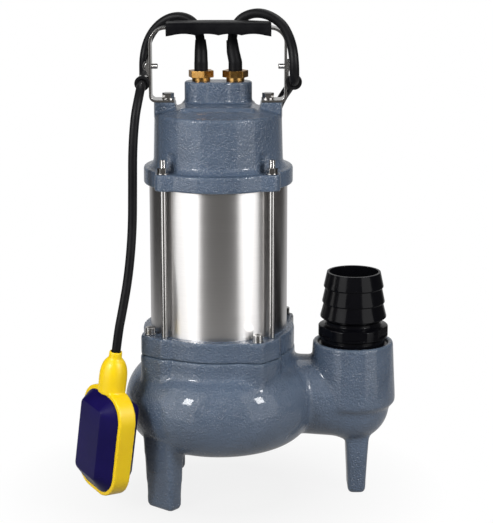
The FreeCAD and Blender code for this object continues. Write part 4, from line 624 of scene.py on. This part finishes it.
def threads_at(name, first, moves):
    """Copies of one thread, each moved by its own matrix, joined into one piece."""
    copies = []
    for move in moves:
        piece = first.copy()
        piece.data = first.data.copy()
        piece.data.transform(move)
        bpy.context.scene.collection.objects.link(piece)
        copies.append(piece)
    bpy.data.objects.remove(first)
    deselect()
    for piece in copies:
        piece.select_set(True)
    bpy.context.view_layer.objects.active = copies[0]
    bpy.ops.object.join()
    whole = bpy.context.object
    whole.name = name
    finish_with(whole, finishes["bright_steel"])
    stand_for(whole, "root", "bright_steel")


rod_offset = 44.4 * mm
rod_nut_top = 242.45 * mm
rod_thread = thread("rod_thread", crest=2.72, valley=2.47, pitch=0.8, turns=8)
threads_at("tie_rod_threads", rod_thread, [
    Matrix.Translation((rod_offset * x, rod_offset * y, rod_nut_top)) for x in (1, -1) for y in (1, -1)])

strap_inside = 55 * mm
clip_screw_height = 320 * mm
clip_thread = thread("clip_thread", crest=2.3, valley=2.02, pitch=0.7, turns=7)
threads_at("clip_screw_threads", clip_thread, [
    Matrix.Translation((strap_inside * side, 0, clip_screw_height))
    @ Matrix.Rotation(math.radians(-90 * side), 4, "Y") for side in (1, -1)])


# Hose tail: one glossy black plastic moulding with three barbs and a collar with flats over a full ring.
# It screws into the thread of the outlet boss and seals on a gasket.

eased("hose_tail", "hose_tail_moulding", "root", width=0.45, segments=3, angle=24)


# Float: a yellow moulded band with the cable's neck, and a navy shell clipped into it on each side.
# The shells slope in to a flat face and leave a dark joint line along the band.

def moulded(node, name, body, grain, rounds):
    """The node as a soft-edged moulding."""
    piece = cast_piece(node, name, grain, rounds)
    finish_with(piece, finishes[slot_of[node]])
    stand_for(piece, body, slot_of[node], node)


moulded("float_band", "float_ring", "float_switch", grain=0.0007, rounds=7)
eased("float_shells", "float_halves", "float_switch", width=1.0, segments=3, angle=12)


# Cables: smooth black rubber jackets, 7.6 mm to the float and 8 mm to the mains. The points of a route
# steer one smooth curve, and the mains cable goes on into the stowed coil and to its plug.

def cable(name, points, diameter):
    """A round cord along a smooth line that the points steer."""
    line = bpy.data.curves.new(name, "CURVE")
    line.dimensions = "3D"
    line.bevel_depth = diameter / 2
    line.bevel_resolution = 6
    line.use_fill_caps = True
    spline = line.splines.new("NURBS")
    spline.points.add(len(points) - 1)
    for point, place in zip(spline.points, points):
        point.co = (place[0] * mm, place[1] * mm, place[2] * mm, 1)
    spline.order_u = 3
    spline.use_endpoint_u = True
    spline.resolution_u = 8
    piece = bpy.data.objects.new(name, line)
    bpy.context.scene.collection.objects.link(piece)
    line.materials.append(finishes["cable_rubber"])
    return piece


float_cable_width = 7.6
power_cable_width = 8

upper_route = [
    (-14.3, 12, 311.05), (-14.3, 12, 322), (-14.4, 14.4, 330.8), (-14.8, 17.1, 340),
    (-16.8, 19.5, 349), (-22.4, 21.8, 356.3), (-31.1, 24, 359.2), (-40.3, 26.4, 357.9),
    (-48.3, 28.8, 353.3), (-54.8, 31, 346.7), (-59.5, 32.7, 338.6), (-62.3, 32.8, 329.5),
    (-63.4, 30, 320.5), (-63.1, 24.3, 312.8), (-62.6, 16, 308), (-62.5, 6, 307), (-62.5, 2.5, 307)]
lower_route = [
    (-62.5, 2.4, 307), (-62.5, -20, 307), (-64.2, -31, 297.6), (-67, -37.6, 283), (-69, -41, 257),
    (-69.4, -42, 226), (-69.9, -44.6, 190), (-73, -51.6, 155), (-77.9, -58, 127)]
power_route = [
    (14.3, 12, 311.05), (14.3, 12, 322), (12.4, 14.4, 330.6), (11.4, 17.1, 339.8), (13, 19.4, 349),
    (18.1, 19, 357), (25.8, 15.7, 361.5), (33.9, 10.6, 363), (41.5, 4.2, 361.8), (48.1, -3, 358.7),
    (53.8, -10.6, 354.2), (57.6, -17, 347.7), (60.3, -23.2, 340.4), (61.8, -27.8, 331.8),
    (62.5, -29.4, 321.6), (62.7, -25.5, 314), (62.7, -18.6, 309.2), (62.7, -7, 307.766),
    (62.7, 24, 303.96), (50.5, 42, 283), (46.8, 54.4, 262), (45.6, 61, 240), (46, 64.6, 216),
    (46.8, 66.4, 194), (47.8, 68.8, 172), (50, 73.2, 144), (52.6, 79.6, 113), (55, 87.8, 82),
    (56.4, 96.4, 51), (56.2, 103.6, 24)]

# The float hangs 17 mm above the floor, a little askew, and the cable ends inside its body
float_middle = Vector((-93.8, -52.96, 13.64))
float_axis = Vector((0.1234, -0.0887, 0.992)).normalized()
float_height = 91
neck_length = 34
straight_above_neck = 13
end_in_body = 6
float_top = float_middle + float_axis * (float_height / 2)
lower_route.append(tuple(float_top + float_axis * (neck_length + straight_above_neck)))
lower_route.append(tuple(float_top - float_axis * end_in_body))

# The coil has four layers, spirals in and out again at a steady rate, takes half a turn to change from
# one layer to the next, and lies on its ties
coil_middle = Vector((5, 166, 0))
coil_outer = 66.5
coil_step = 9.2
coil_layers = 4
layer_turns = 3.3815
change_turns = 0.5
coil_start = math.radians(-80)
tie_thickness = 1.1
coil_bottom = floor_level / mm + tie_thickness + power_cable_width / 2
coil_top = coil_bottom + (coil_layers - 1) * coil_step


def coil_point(turns):
    """The point that the cable has reached after so many turns, in millimetres, from the top down."""
    layer = min(coil_layers - 1, int(turns // layer_turns))
    through = turns - layer * layer_turns
    radius = coil_outer - coil_step * (through if layer % 2 == 0 else layer_turns - through)
    drop = 0
    for k in range(1, coil_layers):
        passed = max(0, min(1, (turns - k * layer_turns) / change_turns + 0.5))
        drop += coil_step * (0.5 - 0.5 * math.cos(math.pi * passed))
    angle = coil_start - math.tau * turns
    return coil_middle + Vector((radius * math.cos(angle), radius * math.sin(angle), coil_top - drop))


# The cable comes down behind the pump and lands on the coil's top layer
landing = coil_point(0)
onto = Vector((math.sin(coil_start), -math.cos(coil_start), 0))
for back, lift in ((38, 22), (30, 8), (16, 0)):
    power_route.append(tuple(landing - onto * back + Vector((0, 0, lift))))

all_turns = coil_layers * layer_turns
points_per_turn = 16
steps = round(all_turns * points_per_turn)
power_route += [tuple(coil_point(all_turns * i / steps)) for i in range(steps + 1)]

# From the bottom layer it rises a little into the plug, which lies beside the coil
coil_end = coil_point(all_turns)
plug_middle = floor_level / mm + 14
plug_rise = plug_middle - coil_end.z
for along, lift in ((13, 0), (31, plug_rise), (44, plug_rise)):
    power_route.append(tuple(coil_end + Vector((along, 0, lift))))

upper_cable = cable("float_cable_run", upper_route, float_cable_width * mm)
stand_for(upper_cable, "root", "cable_rubber", "float_cable_upper")

lower_cable = cable("float_cable_drop", lower_route, float_cable_width * mm)
stand_for(lower_cable, "float_switch", "cable_rubber", "float_cable_lower")

mains_cable = cable("mains_cable", power_route, power_cable_width * mm)
stand_for(mains_cable, "root", "cable_rubber", "power_cable", "power_cable_coil", "power_cable_tail")


bpy.context.scene.view_settings.view_transform = "Standard"
